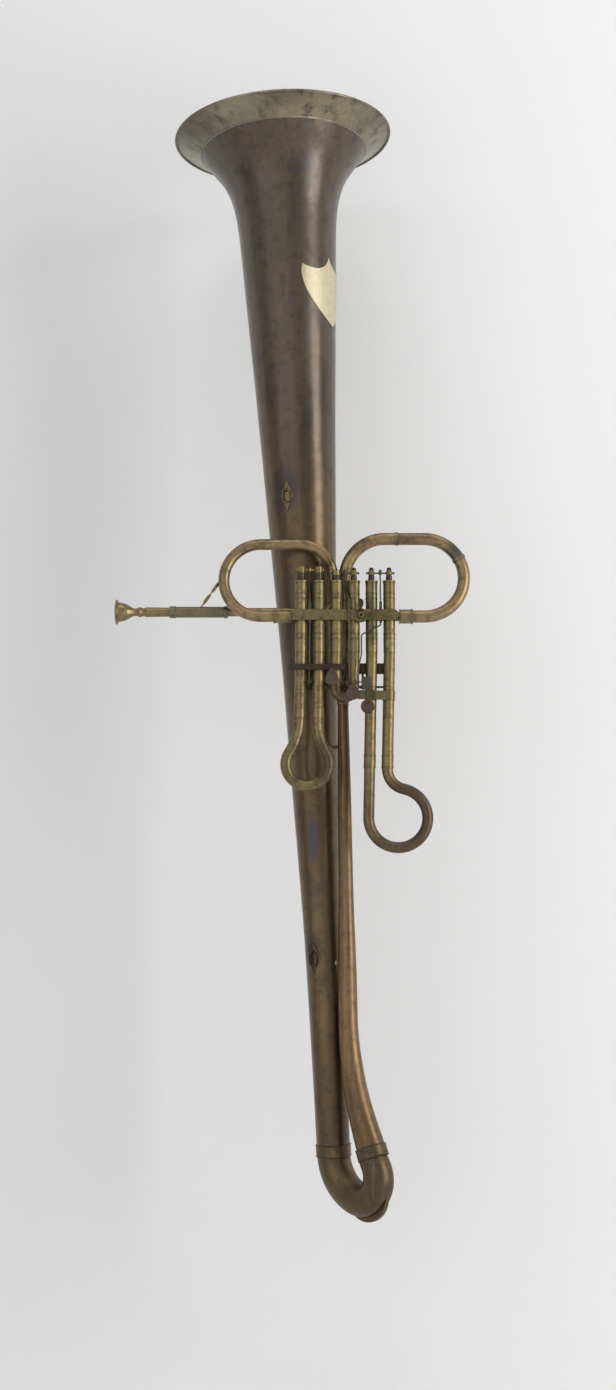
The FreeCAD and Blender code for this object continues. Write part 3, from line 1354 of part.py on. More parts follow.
def first_crook_path(foot):
    """Drop from the left leg, out round a circle below and back to the right leg."""
    left, right = valve_spot(0, foot), valve_spot(1, foot)
    half = VALVE_PITCH / 2
    big = FIRST_CROOK_R
    drop = foot - FIRST_CROOK_Z
    small = (drop ** 2 - big ** 2 + half ** 2) / (2 * (big - half))
    middle = Vector(pair_x(0), VALVE_Y, FIRST_CROOK_Z)
    lean = math.atan2(drop, half + small)

    def on_small(side, angle):
        hinge = Vector(pair_x(0) + side * (half + small), VALVE_Y, foot)
        return hinge + Vector(-side * math.cos(angle), 0, -math.sin(angle)) * small

    def on_big(angle):
        return middle + Vector(math.cos(angle), 0, math.sin(angle)) * big

    edges = [
        Part.Arc(left, on_small(-1, lean / 2), on_small(-1, lean)).toShape(),
        Part.Arc(on_small(-1, lean), on_big(-math.pi / 2), on_small(1, lean)).toShape(),
        Part.Arc(on_small(1, lean), on_small(1, lean / 2), right).toShape()]
    return Part.Wire(edges)


def third_crook_path(foot):
    """Straight down from the left leg, round a big circle and up in an S to the right leg."""
    left, right = valve_spot(4, foot), valve_spot(5, foot)
    big = THIRD_CROOK_R
    middle = Vector(left.x + big, VALVE_Y, THIRD_CROOK_Z)
    drop = foot - THIRD_CROOK_Z
    offset = middle.x - right.x
    small = (drop ** 2 + offset ** 2 - big ** 2) / (2 * (big + offset))
    hinge = right + RIGHT * small
    lean = math.atan2(drop, small - offset)

    def on_small(angle):
        return hinge + Vector(-math.cos(angle), 0, -math.sin(angle)) * small

    low_left = Vector(left.x, VALVE_Y, THIRD_CROOK_Z)
    low_right = middle + Vector(1, 0, -1).normalize() * big
    edges = [
        Part.LineSegment(left, low_left).toShape(),
        Part.Arc(low_left, low_right, on_small(lean)).toShape(),
        Part.Arc(on_small(lean), on_small(lean / 2), right).toShape()]
    return Part.Wire(edges)


def second_crook_path(foot):
    left, right = valve_spot(2, foot), valve_spot(3, foot)
    lowest = Vector(pair_x(1), VALVE_Y, foot - VALVE_PITCH / 2)
    return Part.Wire([Part.Arc(left, lowest, right).toShape()])


def crook(valve):
    """Bent tube with a ferrule and a male slide at each end."""
    foot = LEG_FEET_Z[valve] - SLIDE_END_GAP - FERRULE_LENGTHS[valve]
    path = (first_crook_path, second_crook_path, third_crook_path)[valve](foot)
    bend = swept(path, CROOK_R, STOCKING_BORE_R)
    bent = bend.fuse([crook_socket(valve, 2 * valve), crook_socket(valve, 2 * valve + 1)])
    return leaned(bent, valve)


# Stays between the tubes and the bell

def seated_stay(start, end, bell_r, cores):
    """Round rod with a flared foot at its bell end, cut to seat on what it joins."""
    axis = (end - start).normalize()
    reach = start.distanceToPoint(end)
    rod = cylinder(start, axis, reach, STAY_R)
    foot = Part.makeCone(STAY_R, STAY_FOOT_R, STAY_FOOT, start + axis * (reach - bell_r - STAY_FOOT), axis)
    sole = cylinder(start + axis * (reach - bell_r), axis, STAY_FOOT, STAY_FOOT_R)
    pieces = rod.fuse([foot, sole]).cut(cores).Solids
    return max(pieces, key=lambda piece: piece.Volume)


def body_stays():
    """Stays from the rack, the left loop and the branch to the bell."""
    core = bell_core(SOLDER_GAP)
    lower_start = Vector(LOWER_STAY.x, RACK_BACK_Y + SOLDER_GAP, LOWER_STAY.z)
    lower_end = Vector(LOWER_STAY.x, BELL_FOOT.y, LOWER_STAY.z)
    stays = [seated_stay(lower_start, lower_end, bell_radius(LOWER_STAY.z), [core])]
    upper_start = Vector(UPPER_STAY_X, LOOP_TOP_Y, LEFT_LOOP_TOP_Z)
    upper_end = Vector(bell_centre(LEFT_LOOP_TOP_Z).x, BELL_FOOT.y, LEFT_LOOP_TOP_Z)
    loop = swept(left_loop_path(), LEFT_LOOP_R + SOLDER_GAP)
    stays.append(seated_stay(upper_start, upper_end, bell_radius(LEFT_LOOP_TOP_Z), [core, loop]))
    stations, side = branch_stations()
    branch = lofted(grown(stations, SOLDER_GAP), side)
    path = branch_path()
    for z in BRANCH_STAY_HEIGHTS:
        share = (path.Vertexes[0].Point.z - z) / (path.Vertexes[0].Point.z - path.Vertexes[-1].Point.z)
        start = along(path, path.Length * share)[0]
        stays.append(seated_stay(start, bell_centre(z), bell_radius(z), [core, branch]))
    return Part.makeCompound(stays)


def pieces():
    """Every sub-part by its name."""
    named = {
        "bell": bell(),
        "bell_garland": bell_garland(),
        "shield_plate": shield_plate(),
        "bell_ferrule": bell_ferrule(),
        "bottom_bow": bottom_bow(),
        "bow_guard": bow_guard(),
        "branch_ferrule": branch_ferrule(),
        "branch_tube": branch_tube(),
        "right_loop": right_loop(),
        "right_loop_ferrule": right_loop_ferrule(),
        "left_loop": left_loop(),
        "left_loop_ferrule": left_loop_ferrule(),
        "loop_rings": loop_rings(),
        "mouthpipe": mouthpipe(),
        "mouthpiece_receiver": mouthpiece_receiver(),
        "mouthpiece": mouthpiece(),
        "twisted_stay": twisted_stay(),
        "front_plate": front_plate(),
        "lyre_socket": lyre_socket(),
        "lyre_screw": lyre_screw(),
        "windway_links": windway_links(),
        "lever_axle": lever_axle(),
        "rear_rack": rear_rack(),
        "stop_rail": stop_rail(),
        "clamp_band": clamp_band(),
        "spring_screws": spring_screws(),
        "strap_plates": strap_plates(),
        "upper_strap_ring": strap_ring(0),
        "lower_strap_ring": strap_ring(1),
        "body_stays": body_stays(),
    }
    per_valve = {
        "valve_casings": valve_casings,
        "pistons": pistons,
        "piston_knobs": piston_knobs,
        "crosshead": crosshead,
        "pull_rod": pull_rod,
        "lever": lever,
        "touch": touch,
        "valve_spring": valve_spring,
        "slide_legs": slide_legs,
        "crook": crook,
    }
    for name, make in per_valve.items():
        for valve in range(VALVE_COUNT):
            named[f"{name}_{valve + 1}"] = make(valve)
    return named


def main():
    os.makedirs("parts", exist_ok=True)
    for name, shape in pieces().items():
        shape.exportStep(f"parts/{name}.step")


main()
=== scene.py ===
"""A valved ophicleide in aged brass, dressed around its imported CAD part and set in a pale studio."""

import math

import bmesh
import bpy
from bpy.props import FloatProperty, FloatVectorProperty, PointerProperty
from bpy.types import Operator, Panel, PropertyGroup
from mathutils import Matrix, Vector

bl_info = {
    "name": "Valved ophicleide finishes",
    "version": (1, 0, 0),
    "blender": (4, 5, 0),
    "location": "3D View > Sidebar > Ophicleide",
    "description": "Aged brass, nickel silver and steel finishes for a valved ophicleide",
    "category": "Object",
}

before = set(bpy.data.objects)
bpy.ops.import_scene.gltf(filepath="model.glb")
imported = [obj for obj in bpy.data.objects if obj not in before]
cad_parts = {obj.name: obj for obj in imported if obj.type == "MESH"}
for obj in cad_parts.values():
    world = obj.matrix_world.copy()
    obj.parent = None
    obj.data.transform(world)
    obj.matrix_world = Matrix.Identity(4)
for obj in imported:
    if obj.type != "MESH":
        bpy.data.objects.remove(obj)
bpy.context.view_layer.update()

# Camera, read from the photograph, in metres and pixels
CAMERA_PLACE = (-0.07378, -2.35129, -0.36676)
CAMERA_RISE = math.radians(6.1747)
FOCAL_PIXELS = 1710.0
PHOTO_HEIGHT = 1390.0
SENSOR_MM = 24.0

# Studio, in metres
FLOOR_Z = -1.12
WALL_Y = 0.33
STUDIO_HALF_WIDTH = 4.5
STUDIO_FRONT_Y = -5.0
WALL_TOP_Z = 3.2
COVE_R = 0.26
COVE_STEPS = 24
QUARTER_TURN = math.radians(90)
PAINT_ROUGHNESS = 0.6

# Lights: places and sizes in metres, and colours
LIGHT_AIM = (-0.08, 0.06, -0.05)
KEY_PLACE = (2.4, -1.35, 0.0)
KEY_SIZE = (1.1, 2.8)
KEY_COLOUR = (1.0, 0.985, 0.96)
FILL_PLACE = (-1.5, -2.6, -0.2)
FILL_SIZE = (3.4, 3.4)
FILL_COLOUR = (0.96, 0.98, 1.0)
TOP_PLACE = (0.1, -0.9, 2.3)
TOP_SIZE = (2.2, 1.4)
WHITE = (1, 1, 1)

# Dark joint lines on the parts, in metres along their axes
CASING_LINES = (0.0474, 0.0323, 0.0307, 0.0257, 0.0243, -0.0243, -0.0257, -0.0312, -0.0328, -0.0510)
CROOK_LINES = (-0.0990, -0.1034, -0.1293, -0.1427, -0.1962, -0.2112)
FERRULE_LINES = (-0.1220, -0.1196, -0.0985, 0.0551, 0.0702, 0.0726)
BOW_LINES = (-0.7325, -0.7490)
LINE_REACH = 0.0007
LINE_CORE = 0.25
LINE_SHARE = 0.55

# Noise patterns: scale per metre on a finish of size 1, detail, roughness and distortion
CLOUDS = (11.0, 5.0, 0.6, 0.4)
MOTTLE = (62.0, 6.0, 0.65, 0.0)
GRAIN = (420.0, 3.0, 0.6, 0.0)
STREAKS = (190.0, 3.0, 0.5, 0.0)
FILM = (17.0, 5.0, 0.6, 0.0)
SPECKS = (900.0, 2.0, 0.5, 0.0)
DENTS = (30.0, 3.0, 0.5, 0.0)
HEAT_HUES = (16.0, 7.0, 0.68, 0.5)
RAGGED_EDGE = (45.0, 5.0, 0.65, 0.0)
STREAK_STRETCH = (1, 1, 0.04)
FILM_STRETCH = (1, 1, 0.35)
FILM_TURN = (0.4, 0.2, 0.9)
HEAT_STRETCH = (1, 1, 0.55)
HEAT_TURN = (0.1, 0.05, 0)

# Where each layer starts and is full, as levels of its pattern
TARNISH_EDGE = (0.28, 0.50)
WARM_EDGE = (0.54, 0.76)
MOTTLE_EDGE = (0.47, 0.70)
FILM_EDGE = (0.50, 0.72)
BRUSHED_EDGE = (0.50, 0.75)
SPECK_EDGE = (0.66, 0.74)
# Painted crevice shade with some grime, set by the level of ambient occlusion
SHADE_AND_GRIME_EDGE = (0.92, 0.35)
ROUGH_EDGE = (0.3, 0.7)
# Edge of the stains and of the painted shade patches, as multiples of their reach
STAIN_AND_SHADE_EDGE = (1.55, 0.95)
WARM_SHARE = 0.8
UPPER_CLOUDS = 0.1
# The most that the painted crevice shade, with some grime, darkens a surface
SHADE_AND_GRIME_SHARE = 0.85
SPECK_TONE = 0.35
# Tone of the painted crevice shade with grime and of the dark joint lines, as a share of the tarnish colour
SHADE_AND_GRIME_TONE = 0.3

CREVICE_SAMPLES = 4

# Relief of the metals, in metres, and the clear coat
DENT_DEPTH = 0.0006
DENT_STRENGTH = 0.5
GRAIN_DEPTH = 0.00006
GRAIN_STRENGTH = 0.35
STREAK_RELIEF = 0.7
COAT_ROUGHNESS = 0.2

# Colours of the heat film on the upper bell, by position in its noise
HEAT_COLOURS = (
    (0.34, (0.060, 0.068, 0.084)), (0.43, (0.105, 0.084, 0.070)), (0.49, (0.078, 0.086, 0.072)),
    (0.55, (0.135, 0.098, 0.060)), (0.61, (0.068, 0.072, 0.084)), (0.70, (0.112, 0.084, 0.066)))

# Stains, and patches of painted shade: centre, reach, stretch of the distance along each axis, colour and
# share
BLUE_STAIN = ((-0.067, 0.056, -0.31), 0.010, (1, 0.5, 0.26), (0.050, 0.044, 0.080), 0.7)
UPPER_PLATE_STAIN = ((-0.106, 0.035, 0.190), 0.024, (1, 0.6, 0.6), (0.045, 0.040, 0.044), 0.7)
LOWER_PLATE_STAIN = ((-0.068, 0.062, -0.464), 0.018, (1, 0.6, 0.7), (0.035, 0.028, 0.024), 0.7)
# Painted shade: a dark patch on the bell behind the valves, where they shade it
VALVE_SIDE_SHADE = ((-0.085, 0.05, -0.02), 0.05, (1, 0.6, 0.5), (0.052, 0.045, 0.040), 0.5)
# Painted shade: the garland's left side darkened, where it turns from the light
GARLAND_LEFT_SHADE = ((-0.262, 0.0, 0.700), 0.075, (1, 1, 1), (0.080, 0.070, 0.048), 0.6)
# A darker patch on the garland's right side
GARLAND_RIGHT_DARK_PATCH = ((0.040, 0.02, 0.705), 0.030, (1, 1, 1), (0.100, 0.088, 0.062), 0.5)
GREEN_STAIN = ((0.135, 0.026, 0.095), 0.022, (1, 1, 1), (0.055, 0.085, 0.070), 0.8)
CROOK_BROWN = (0.092, 0.062, 0.046)
FIRST_CROOK_STAIN = ((-0.045, 0.017, -0.205), 0.036, (1, 0.3, 0.7), CROOK_BROWN, 0.85)
THIRD_CROOK_STAIN = ((0.064, 0.017, -0.280), 0.082, (1, 0.3, 1), CROOK_BROWN, 0.9)
SECOND_CROOK_STAIN = ((-0.023, 0.017, -0.108), 0.022, (1, 0.4, 1), CROOK_BROWN, 0.8)

# Wear of each metal, where it differs from plain wear. dark, warm and film are the colours of its
# tarnish, of its reddish handled spots and of the green or blue film on it. size is that of its
# patterns, a streak below 1 draws its clouds out along Z, and mottle, film_share, brushed and specks
# are the shares of dark spots, film, warm streaks and pits. Painted crevice shade, with some grime,
# reaches out of a crevice by shade_and_grime_reach, in metres. On the bell, the brown and the heat
# film set in between the two heights of their reach. The knobs have a dark tip above tip_z
PLAIN_WEAR = {
    "size": 1.0, "streak": 0.18, "mottle": 0.5, "film_share": 0.35, "brushed": 0.25, "specks": 0.5,
    "shade_and_grime_reach": 0.006, "smoothest": 0.30, "roughest": 0.48, "metallic": 0.85, "coat": 0.0, "stains_and_shade": ()}
BELL_WEAR = {
    "dark": (0.052, 0.040, 0.030), "warm": (0.205, 0.135, 0.075),
    "size": 1.1, "mottle": 0.65, "film_share": 0.22, "brushed": 0.2, "streak": 0.4,
    "smoothest": 0.28, "roughest": 0.42, "metallic": 0.72, "coat": 0.25,
    "upper_reach": (0.16, 0.48), "heat_reach": (0.18, 0.50), "heat_share": 0.45, "lines": ("Z", BOW_LINES),
    "stains_and_shade": (BLUE_STAIN, UPPER_PLATE_STAIN, LOWER_PLATE_STAIN, VALVE_SIDE_SHADE)}
LOWER_BODY_WEAR = {
    "dark": (0.055, 0.042, 0.030), "warm": (0.215, 0.140, 0.075), "film": (0.09, 0.10, 0.07),
    "size": 1.2, "mottle": 0.6, "film_share": 0.3, "brushed": 0.45,
    "smoothest": 0.34, "roughest": 0.50, "metallic": 0.8, "lines": ("Z", BOW_LINES)}
BRANCH_WEAR = {
    "dark": (0.075, 0.055, 0.036), "warm": (0.30, 0.19, 0.10), "film": (0.11, 0.12, 0.085),
    "size": 0.9, "mottle": 0.6, "film_share": 0.3, "brushed": 0.5,
    "smoothest": 0.30, "roughest": 0.46, "metallic": 0.8}
GARLAND_WEAR = {
    "dark": (0.075, 0.064, 0.042), "warm": (0.44, 0.39, 0.27), "film": (0.15, 0.145, 0.095),
    "size": 1.3, "mottle": 0.9, "film_share": 0.45, "brushed": 0.2, "streak": 1.0,
    "smoothest": 0.24, "roughest": 0.40, "shade_and_grime_reach": 0.012, "coat": 0.3,
    "stains_and_shade": (GARLAND_LEFT_SHADE, GARLAND_RIGHT_DARK_PATCH)}
SHIELD_WEAR = {
    "dark": (0.40, 0.33, 0.20), "warm": (0.70, 0.60, 0.42), "film": (0.5, 0.45, 0.3),
    "size": 0.5, "mottle": 0.4, "film_share": 0.2, "metallic": 0.6,
    "smoothest": 0.42, "roughest": 0.55, "specks": 0.7}
PLATE_WEAR = {
    "dark": (0.045, 0.034, 0.024), "warm": (0.24, 0.16, 0.08), "film": (0.10, 0.10, 0.07),
    "size": 0.3, "shade_and_grime_reach": 0.004}
RECEIVER_WEAR = {
    "dark": (0.075, 0.062, 0.038), "warm": (0.27, 0.225, 0.13), "film": (0.14, 0.15, 0.11),
    "size": 0.5, "mottle": 0.6, "film_share": 0.4, "brushed": 0.3, "streak": 1.0,
    "smoothest": 0.34, "roughest": 0.5}
LOOP_WEAR = {
    "dark": (0.072, 0.054, 0.034), "warm": (0.300, 0.205, 0.105), "film": (0.11, 0.125, 0.08),
    "size": 0.7, "mottle": 0.65, "film_share": 0.3, "streak": 1.0, "stains_and_shade": (GREEN_STAIN,)}
FERRULE_WEAR = {
    "dark": (0.060, 0.048, 0.028), "warm": (0.28, 0.205, 0.10), "film": (0.12, 0.135, 0.08),
    "size": 0.5, "mottle": 0.6, "film_share": 0.3, "brushed": 0.3, "streak": 1.0,
    "lines": ("X", FERRULE_LINES)}
SLIDE_WEAR = {
    "dark": (0.058, 0.044, 0.028), "warm": (0.30, 0.215, 0.105), "film": (0.10, 0.105, 0.07),
    "size": 0.6, "mottle": 0.7, "film_share": 0.25, "brushed": 0.4,
    "smoothest": 0.33, "roughest": 0.52, "lines": ("Z", CROOK_LINES),
    "stains_and_shade": (FIRST_CROOK_STAIN, THIRD_CROOK_STAIN, SECOND_CROOK_STAIN)}
MOUTHPIECE_WEAR = {
    "dark": (0.09, 0.068, 0.040), "warm": (0.38, 0.285, 0.145), "film": (0.13, 0.145, 0.10),
    "size": 0.4, "film_share": 0.3, "smoothest": 0.25, "roughest": 0.42}
VALVE_WEAR = {
    "dark": (0.058, 0.046, 0.026), "warm": (0.30, 0.225, 0.105), "film": (0.12, 0.135, 0.075),
    "size": 0.45, "mottle": 0.7, "film_share": 0.3, "brushed": 0.45,
    "smoothest": 0.34, "roughest": 0.54, "lines": ("Z", CASING_LINES)}
BAR_WEAR = {
    "dark": (0.040, 0.032, 0.020), "warm": (0.20, 0.145, 0.070), "film": (0.08, 0.085, 0.05),
    "size": 0.4, "mottle": 0.7, "film_share": 0.3, "brushed": 0.3, "streak": 1.0,
    "smoothest": 0.32, "roughest": 0.5}
RACK_WEAR = {
    "dark": (0.020, 0.016, 0.012), "warm": (0.11, 0.075, 0.045), "film": (0.04, 0.04, 0.03),
    "size": 0.4, "mottle": 0.6, "streak": 1.0}
KNOB_WEAR = {
    "dark": (0.060, 0.048, 0.028), "warm": (0.30, 0.225, 0.11), "film": (0.12, 0.13, 0.08),
    "size": 0.35, "tip_z": 0.0652, "tip_colour": (0.035, 0.028, 0.022)}
PISTON_WEAR = {
    "dark": (0.028, 0.022, 0.016), "warm": (0.12, 0.085, 0.05), "film": (0.05, 0.05, 0.04), "size": 0.3}
TOUCH_WEAR = {
    "dark": (0.030, 0.021, 0.016), "warm": (0.110, 0.072, 0.050), "film": (0.06, 0.05, 0.04),
    "size": 0.3, "mottle": 0.4, "film_share": 0.2, "smoothest": 0.28, "roughest": 0.42}
ROD_WEAR = {
    "dark": (0.04, 0.034, 0.026), "warm": (0.19, 0.13, 0.075), "film": (0.10, 0.09, 0.06),
    "size": 0.25, "mottle": 0.6, "metallic": 0.55, "smoothest": 0.38, "roughest": 0.5}
CROSSHEAD_WEAR = {
    "dark": (0.12, 0.09, 0.05), "warm": (0.42, 0.31, 0.15), "film": (0.16, 0.16, 0.10),
    "size": 0.25, "mottle": 0.4}
TIP_EDGE = 0.0003

# Sockets of a node that mixes two colours
MIX_FACTOR = 0
MIX_FIRST = 6
MIX_SECOND = 7
MIX_RESULT = 2


# Material building

def new_material(name):
    """A node material with only its output, and the tree to fill."""
    material = bpy.data.materials.new(name)
    material.use_nodes = True
    tree = material.node_tree
    tree.nodes.clear()
    output = tree.nodes.new("ShaderNodeOutputMaterial")
    return material, tree, output


def node(tree, kind, inputs=None, **settings):
    """Adds a node, sets its properties, then its input values or links."""
    made = tree.nodes.new(kind)
    for name, value in settings.items():
        setattr(made, name, value)
    for name, value in (inputs or {}).items():
        socket = made.inputs[name]
        if isinstance(value, bpy.types.NodeSocket):
            tree.links.new(value, socket)
        else:
            socket.default_value = value
    return made


def opaque(colour):
    return (*colour[:3], 1.0)


def darkened(colour, factor):
    return [channel * factor for channel in colour[:3]]


def pattern_place(tree, stretch=(1, 1, 1), turn=(0, 0, 0)):
    """Object coordinates, stretched and turned for a pattern."""
    coordinates = node(tree, "ShaderNodeTexCoord")
    return node(tree, "ShaderNodeMapping",
                {"Vector": coordinates.outputs["Object"], "Scale": stretch, "Rotation": turn}
                ).outputs["Vector"]


def noise(tree, place, pattern, size=1.0):
    scale, detail, roughness, distortion = pattern
    return node(tree, "ShaderNodeTexNoise",
                {"Vector": place, "Scale": scale / size, "Detail": detail, "Roughness": roughness,
                 "Distortion": distortion}).outputs["Fac"]


def ramp(tree, value, stops):
    """Colour ramp through (position, colour) stops."""
    made = node(tree, "ShaderNodeValToRGB", {"Fac": value})
    band = made.color_ramp
    band.interpolation = "LINEAR"
    while len(band.elements) < len(stops):
        band.elements.new(1.0)
    for element, (position, colour) in zip(band.elements, stops):
        element.position = position
        element.color = opaque(colour)
    return made.outputs["Color"]


def mask(tree, value, low, high):
    """Smooth step from 0 at low to 1 at high."""
    return node(tree, "ShaderNodeMapRange",
                {"Value": value, "From Min": low, "From Max": high},
                interpolation_type="SMOOTHSTEP").outputs["Result"]


def computed(tree, operation, *values):
    return node(tree, "ShaderNodeMath", dict(enumerate(values)), operation=operation).outputs[0]


def scaled(tree, value, factor):
    return computed(tree, "MULTIPLY", value, factor)


def summed(tree, first, second):
    return computed(tree, "ADD", first, second)


def averaged(tree, first, second):
    return scaled(tree, summed(tree, first, second), 0.5)


def blended(tree, factor, first, second):
    """Colour that goes from first to second as factor goes from 0 to 1."""
    mixer = node(tree, "ShaderNodeMix", {MIX_FACTOR: factor}, data_type="RGBA", blend_type="MIX")
    for slot, colour in ((MIX_FIRST, first), (MIX_SECOND, second)):
        if isinstance(colour, bpy.types.NodeSocket):
            tree.links.new(colour, mixer.inputs[slot])
        else:
            mixer.inputs[slot].default_value = opaque(colour)
    return mixer.outputs[MIX_RESULT]


def coordinate(tree, axis):
    """Object coordinate along X, Y or Z."""
    coordinates = node(tree, "ShaderNodeTexCoord")
    split = node(tree, "ShaderNodeSeparateXYZ", {"Vector": coordinates.outputs["Object"]})
    return split.outputs["XYZ".index(axis)]


def near_lines(tree, axis, places):
    """1 on each place along an axis, falling to 0 a line's reach away from it."""
    along = coordinate(tree, axis)
    found = None
    for place in places:
        distance = computed(tree, "ABSOLUTE", computed(tree, "SUBTRACT", along, place))
        line = mask(tree, distance, LINE_REACH, LINE_REACH * LINE_CORE)
        if found is not None:
            line = computed(tree, "MAXIMUM", found, line)
        found = line
    return found


def near_place(tree, centre, reach, stretch):
    """1 round a place, falling to 0 with a ragged edge about a reach away from it."""
    coordinates = node(tree, "ShaderNodeTexCoord")
    away = node(tree, "ShaderNodeVectorMath", {0: coordinates.outputs["Object"], 1: centre},
                operation="SUBTRACT").outputs[0]
    squeezed = node(tree, "ShaderNodeVectorMath", {0: away, 1: stretch}, operation="MULTIPLY").outputs[0]
    distance = node(tree, "ShaderNodeVectorMath", {0: squeezed}, operation="LENGTH").outputs["Value"]
    ragged = summed(tree, distance, scaled(tree, noise(tree, pattern_place(tree), RAGGED_EDGE), reach))
    outside, inside = STAIN_AND_SHADE_EDGE
    return mask(tree, ragged, reach * outside, reach * inside)


def layered(tree, under, over, pattern, edge, share):
    """Colour over another where a pattern is past its edge, up to a share."""
    return blended(tree, scaled(tree, mask(tree, pattern, *edge), share), under, over)


def clean_metal(tree, colour, wear, clouds):
    """Metal's own colour, with a second colour up the bell and a heat film over it where it has them."""
    if "upper_reach" in wear:
        height = summed(tree, coordinate(tree, "Z"), scaled(tree, clouds, UPPER_CLOUDS))
        colour = blended(tree, mask(tree, height, *wear["upper_reach"]), colour, wear["upper_colour"])
    clean = blended(tree, mask(tree, clouds, *TARNISH_EDGE), wear["dark"], colour)
    tone = layered(tree, clean, wear["warm"], clouds, WARM_EDGE, WARM_SHARE)
    if "heat_reach" in wear:
        hue = noise(tree, pattern_place(tree, HEAT_STRETCH, HEAT_TURN), HEAT_HUES)
        hues = ramp(tree, hue, HEAT_COLOURS)
        tone = layered(tree, tone, hues, coordinate(tree, "Z"), wear["heat_reach"], wear["heat_share"])
    return tone


def shade_and_grime_share(tree, wear):
    """Share of black: painted crevice shade with some grime, and the dark joint lines."""
    # Painted shade: ambient occlusion darkens the crevices, with some grime
    crevice = node(tree, "ShaderNodeAmbientOcclusion", {"Distance": wear["shade_and_grime_reach"]},
                   samples=CREVICE_SAMPLES)
    shade_and_grime = scaled(tree, mask(tree, crevice.outputs["AO"], *SHADE_AND_GRIME_EDGE), SHADE_AND_GRIME_SHARE)
    if "lines" in wear:
        lines = scaled(tree, near_lines(tree, *wear["lines"]), LINE_SHARE)
        shade_and_grime = computed(tree, "MAXIMUM", shade_and_grime, lines)
    return shade_and_grime


def aged_metal(name, colour, own_wear):
    """Handled metal: clouded tarnish, a coloured film, streaks down the tube, specks and dents."""
    wear = {**PLAIN_WEAR, **own_wear}
    material, tree, output = new_material(name)
    size = wear["size"]
    flat = pattern_place(tree)
    upright = pattern_place(tree, (1, 1, wear["streak"]))
    clouds = noise(tree, upright, CLOUDS, size)
    mottle = noise(tree, flat, MOTTLE, size)
    grain = noise(tree, flat, GRAIN, size)
    streaks = noise(tree, pattern_place(tree, STREAK_STRETCH), STREAKS, size)
    film = noise(tree, pattern_place(tree, FILM_STRETCH, FILM_TURN), FILM, size)
    specks = noise(tree, flat, SPECKS, size)
    tone = clean_metal(tree, colour, wear, clouds)
    tone = layered(tree, tone, wear["dark"], mottle, MOTTLE_EDGE, wear["mottle"])
    tone = layered(tree, tone, wear["film"], film, FILM_EDGE, wear["film_share"])
    tone = layered(tree, tone, wear["warm"], streaks, BRUSHED_EDGE, wear["brushed"])
    # Stains, and patches of painted shade behind the valves and on the garland's left, laid over the tone
    for centre, reach, stretch, patch_colour, share in wear["stains_and_shade"]:
        tone = blended(tree, scaled(tree, near_place(tree, centre, reach, stretch), share), tone, patch_colour)
    tone = layered(tree, tone, darkened(wear["dark"], SPECK_TONE), specks, SPECK_EDGE, wear["specks"])
    # Painted crevice shade with some grime, and the dark joint lines, darken the tone
    tone = blended(tree, shade_and_grime_share(tree, wear), tone, darkened(wear["dark"], SHADE_AND_GRIME_TONE))
    if "tip_z" in wear:
        tip = mask(tree, coordinate(tree, "Z"), wear["tip_z"] - TIP_EDGE, wear["tip_z"] + TIP_EDGE)
        tone = blended(tree, tip, tone, wear["tip_colour"])
    lowest, highest = ROUGH_EDGE
    rough = node(tree, "ShaderNodeMapRange",
                 {"Value": averaged(tree, clouds, mottle), "From Min": lowest, "From Max": highest,
                  "To Min": wear["smoothest"], "To Max": wear["roughest"]}).outputs["Result"]
    dents = node(tree, "ShaderNodeBump",
                 {"Height": noise(tree, flat, DENTS, size), "Strength": DENT_STRENGTH,
                  "Distance": DENT_DEPTH}).outputs["Normal"]
    fine = node(tree, "ShaderNodeBump",
                {"Height": summed(tree, grain, scaled(tree, streaks, STREAK_RELIEF)),
                 "Strength": GRAIN_STRENGTH, "Distance": GRAIN_DEPTH, "Normal": dents}).outputs["Normal"]
    shader = node(tree, "ShaderNodeBsdfPrincipled",
                  {"Base Color": tone, "Metallic": wear["metallic"], "Roughness": rough, "Normal": fine,
                   "Coat Weight": wear["coat"], "Coat Roughness": COAT_ROUGHNESS})
    tree.links.new(shader.outputs["BSDF"], output.inputs["Surface"])
    return material


def colour_property(name, description, default):
    return FloatVectorProperty(name=name, description=description, subtype="COLOR", size=3,
                               min=0.0, max=1.0, default=default)


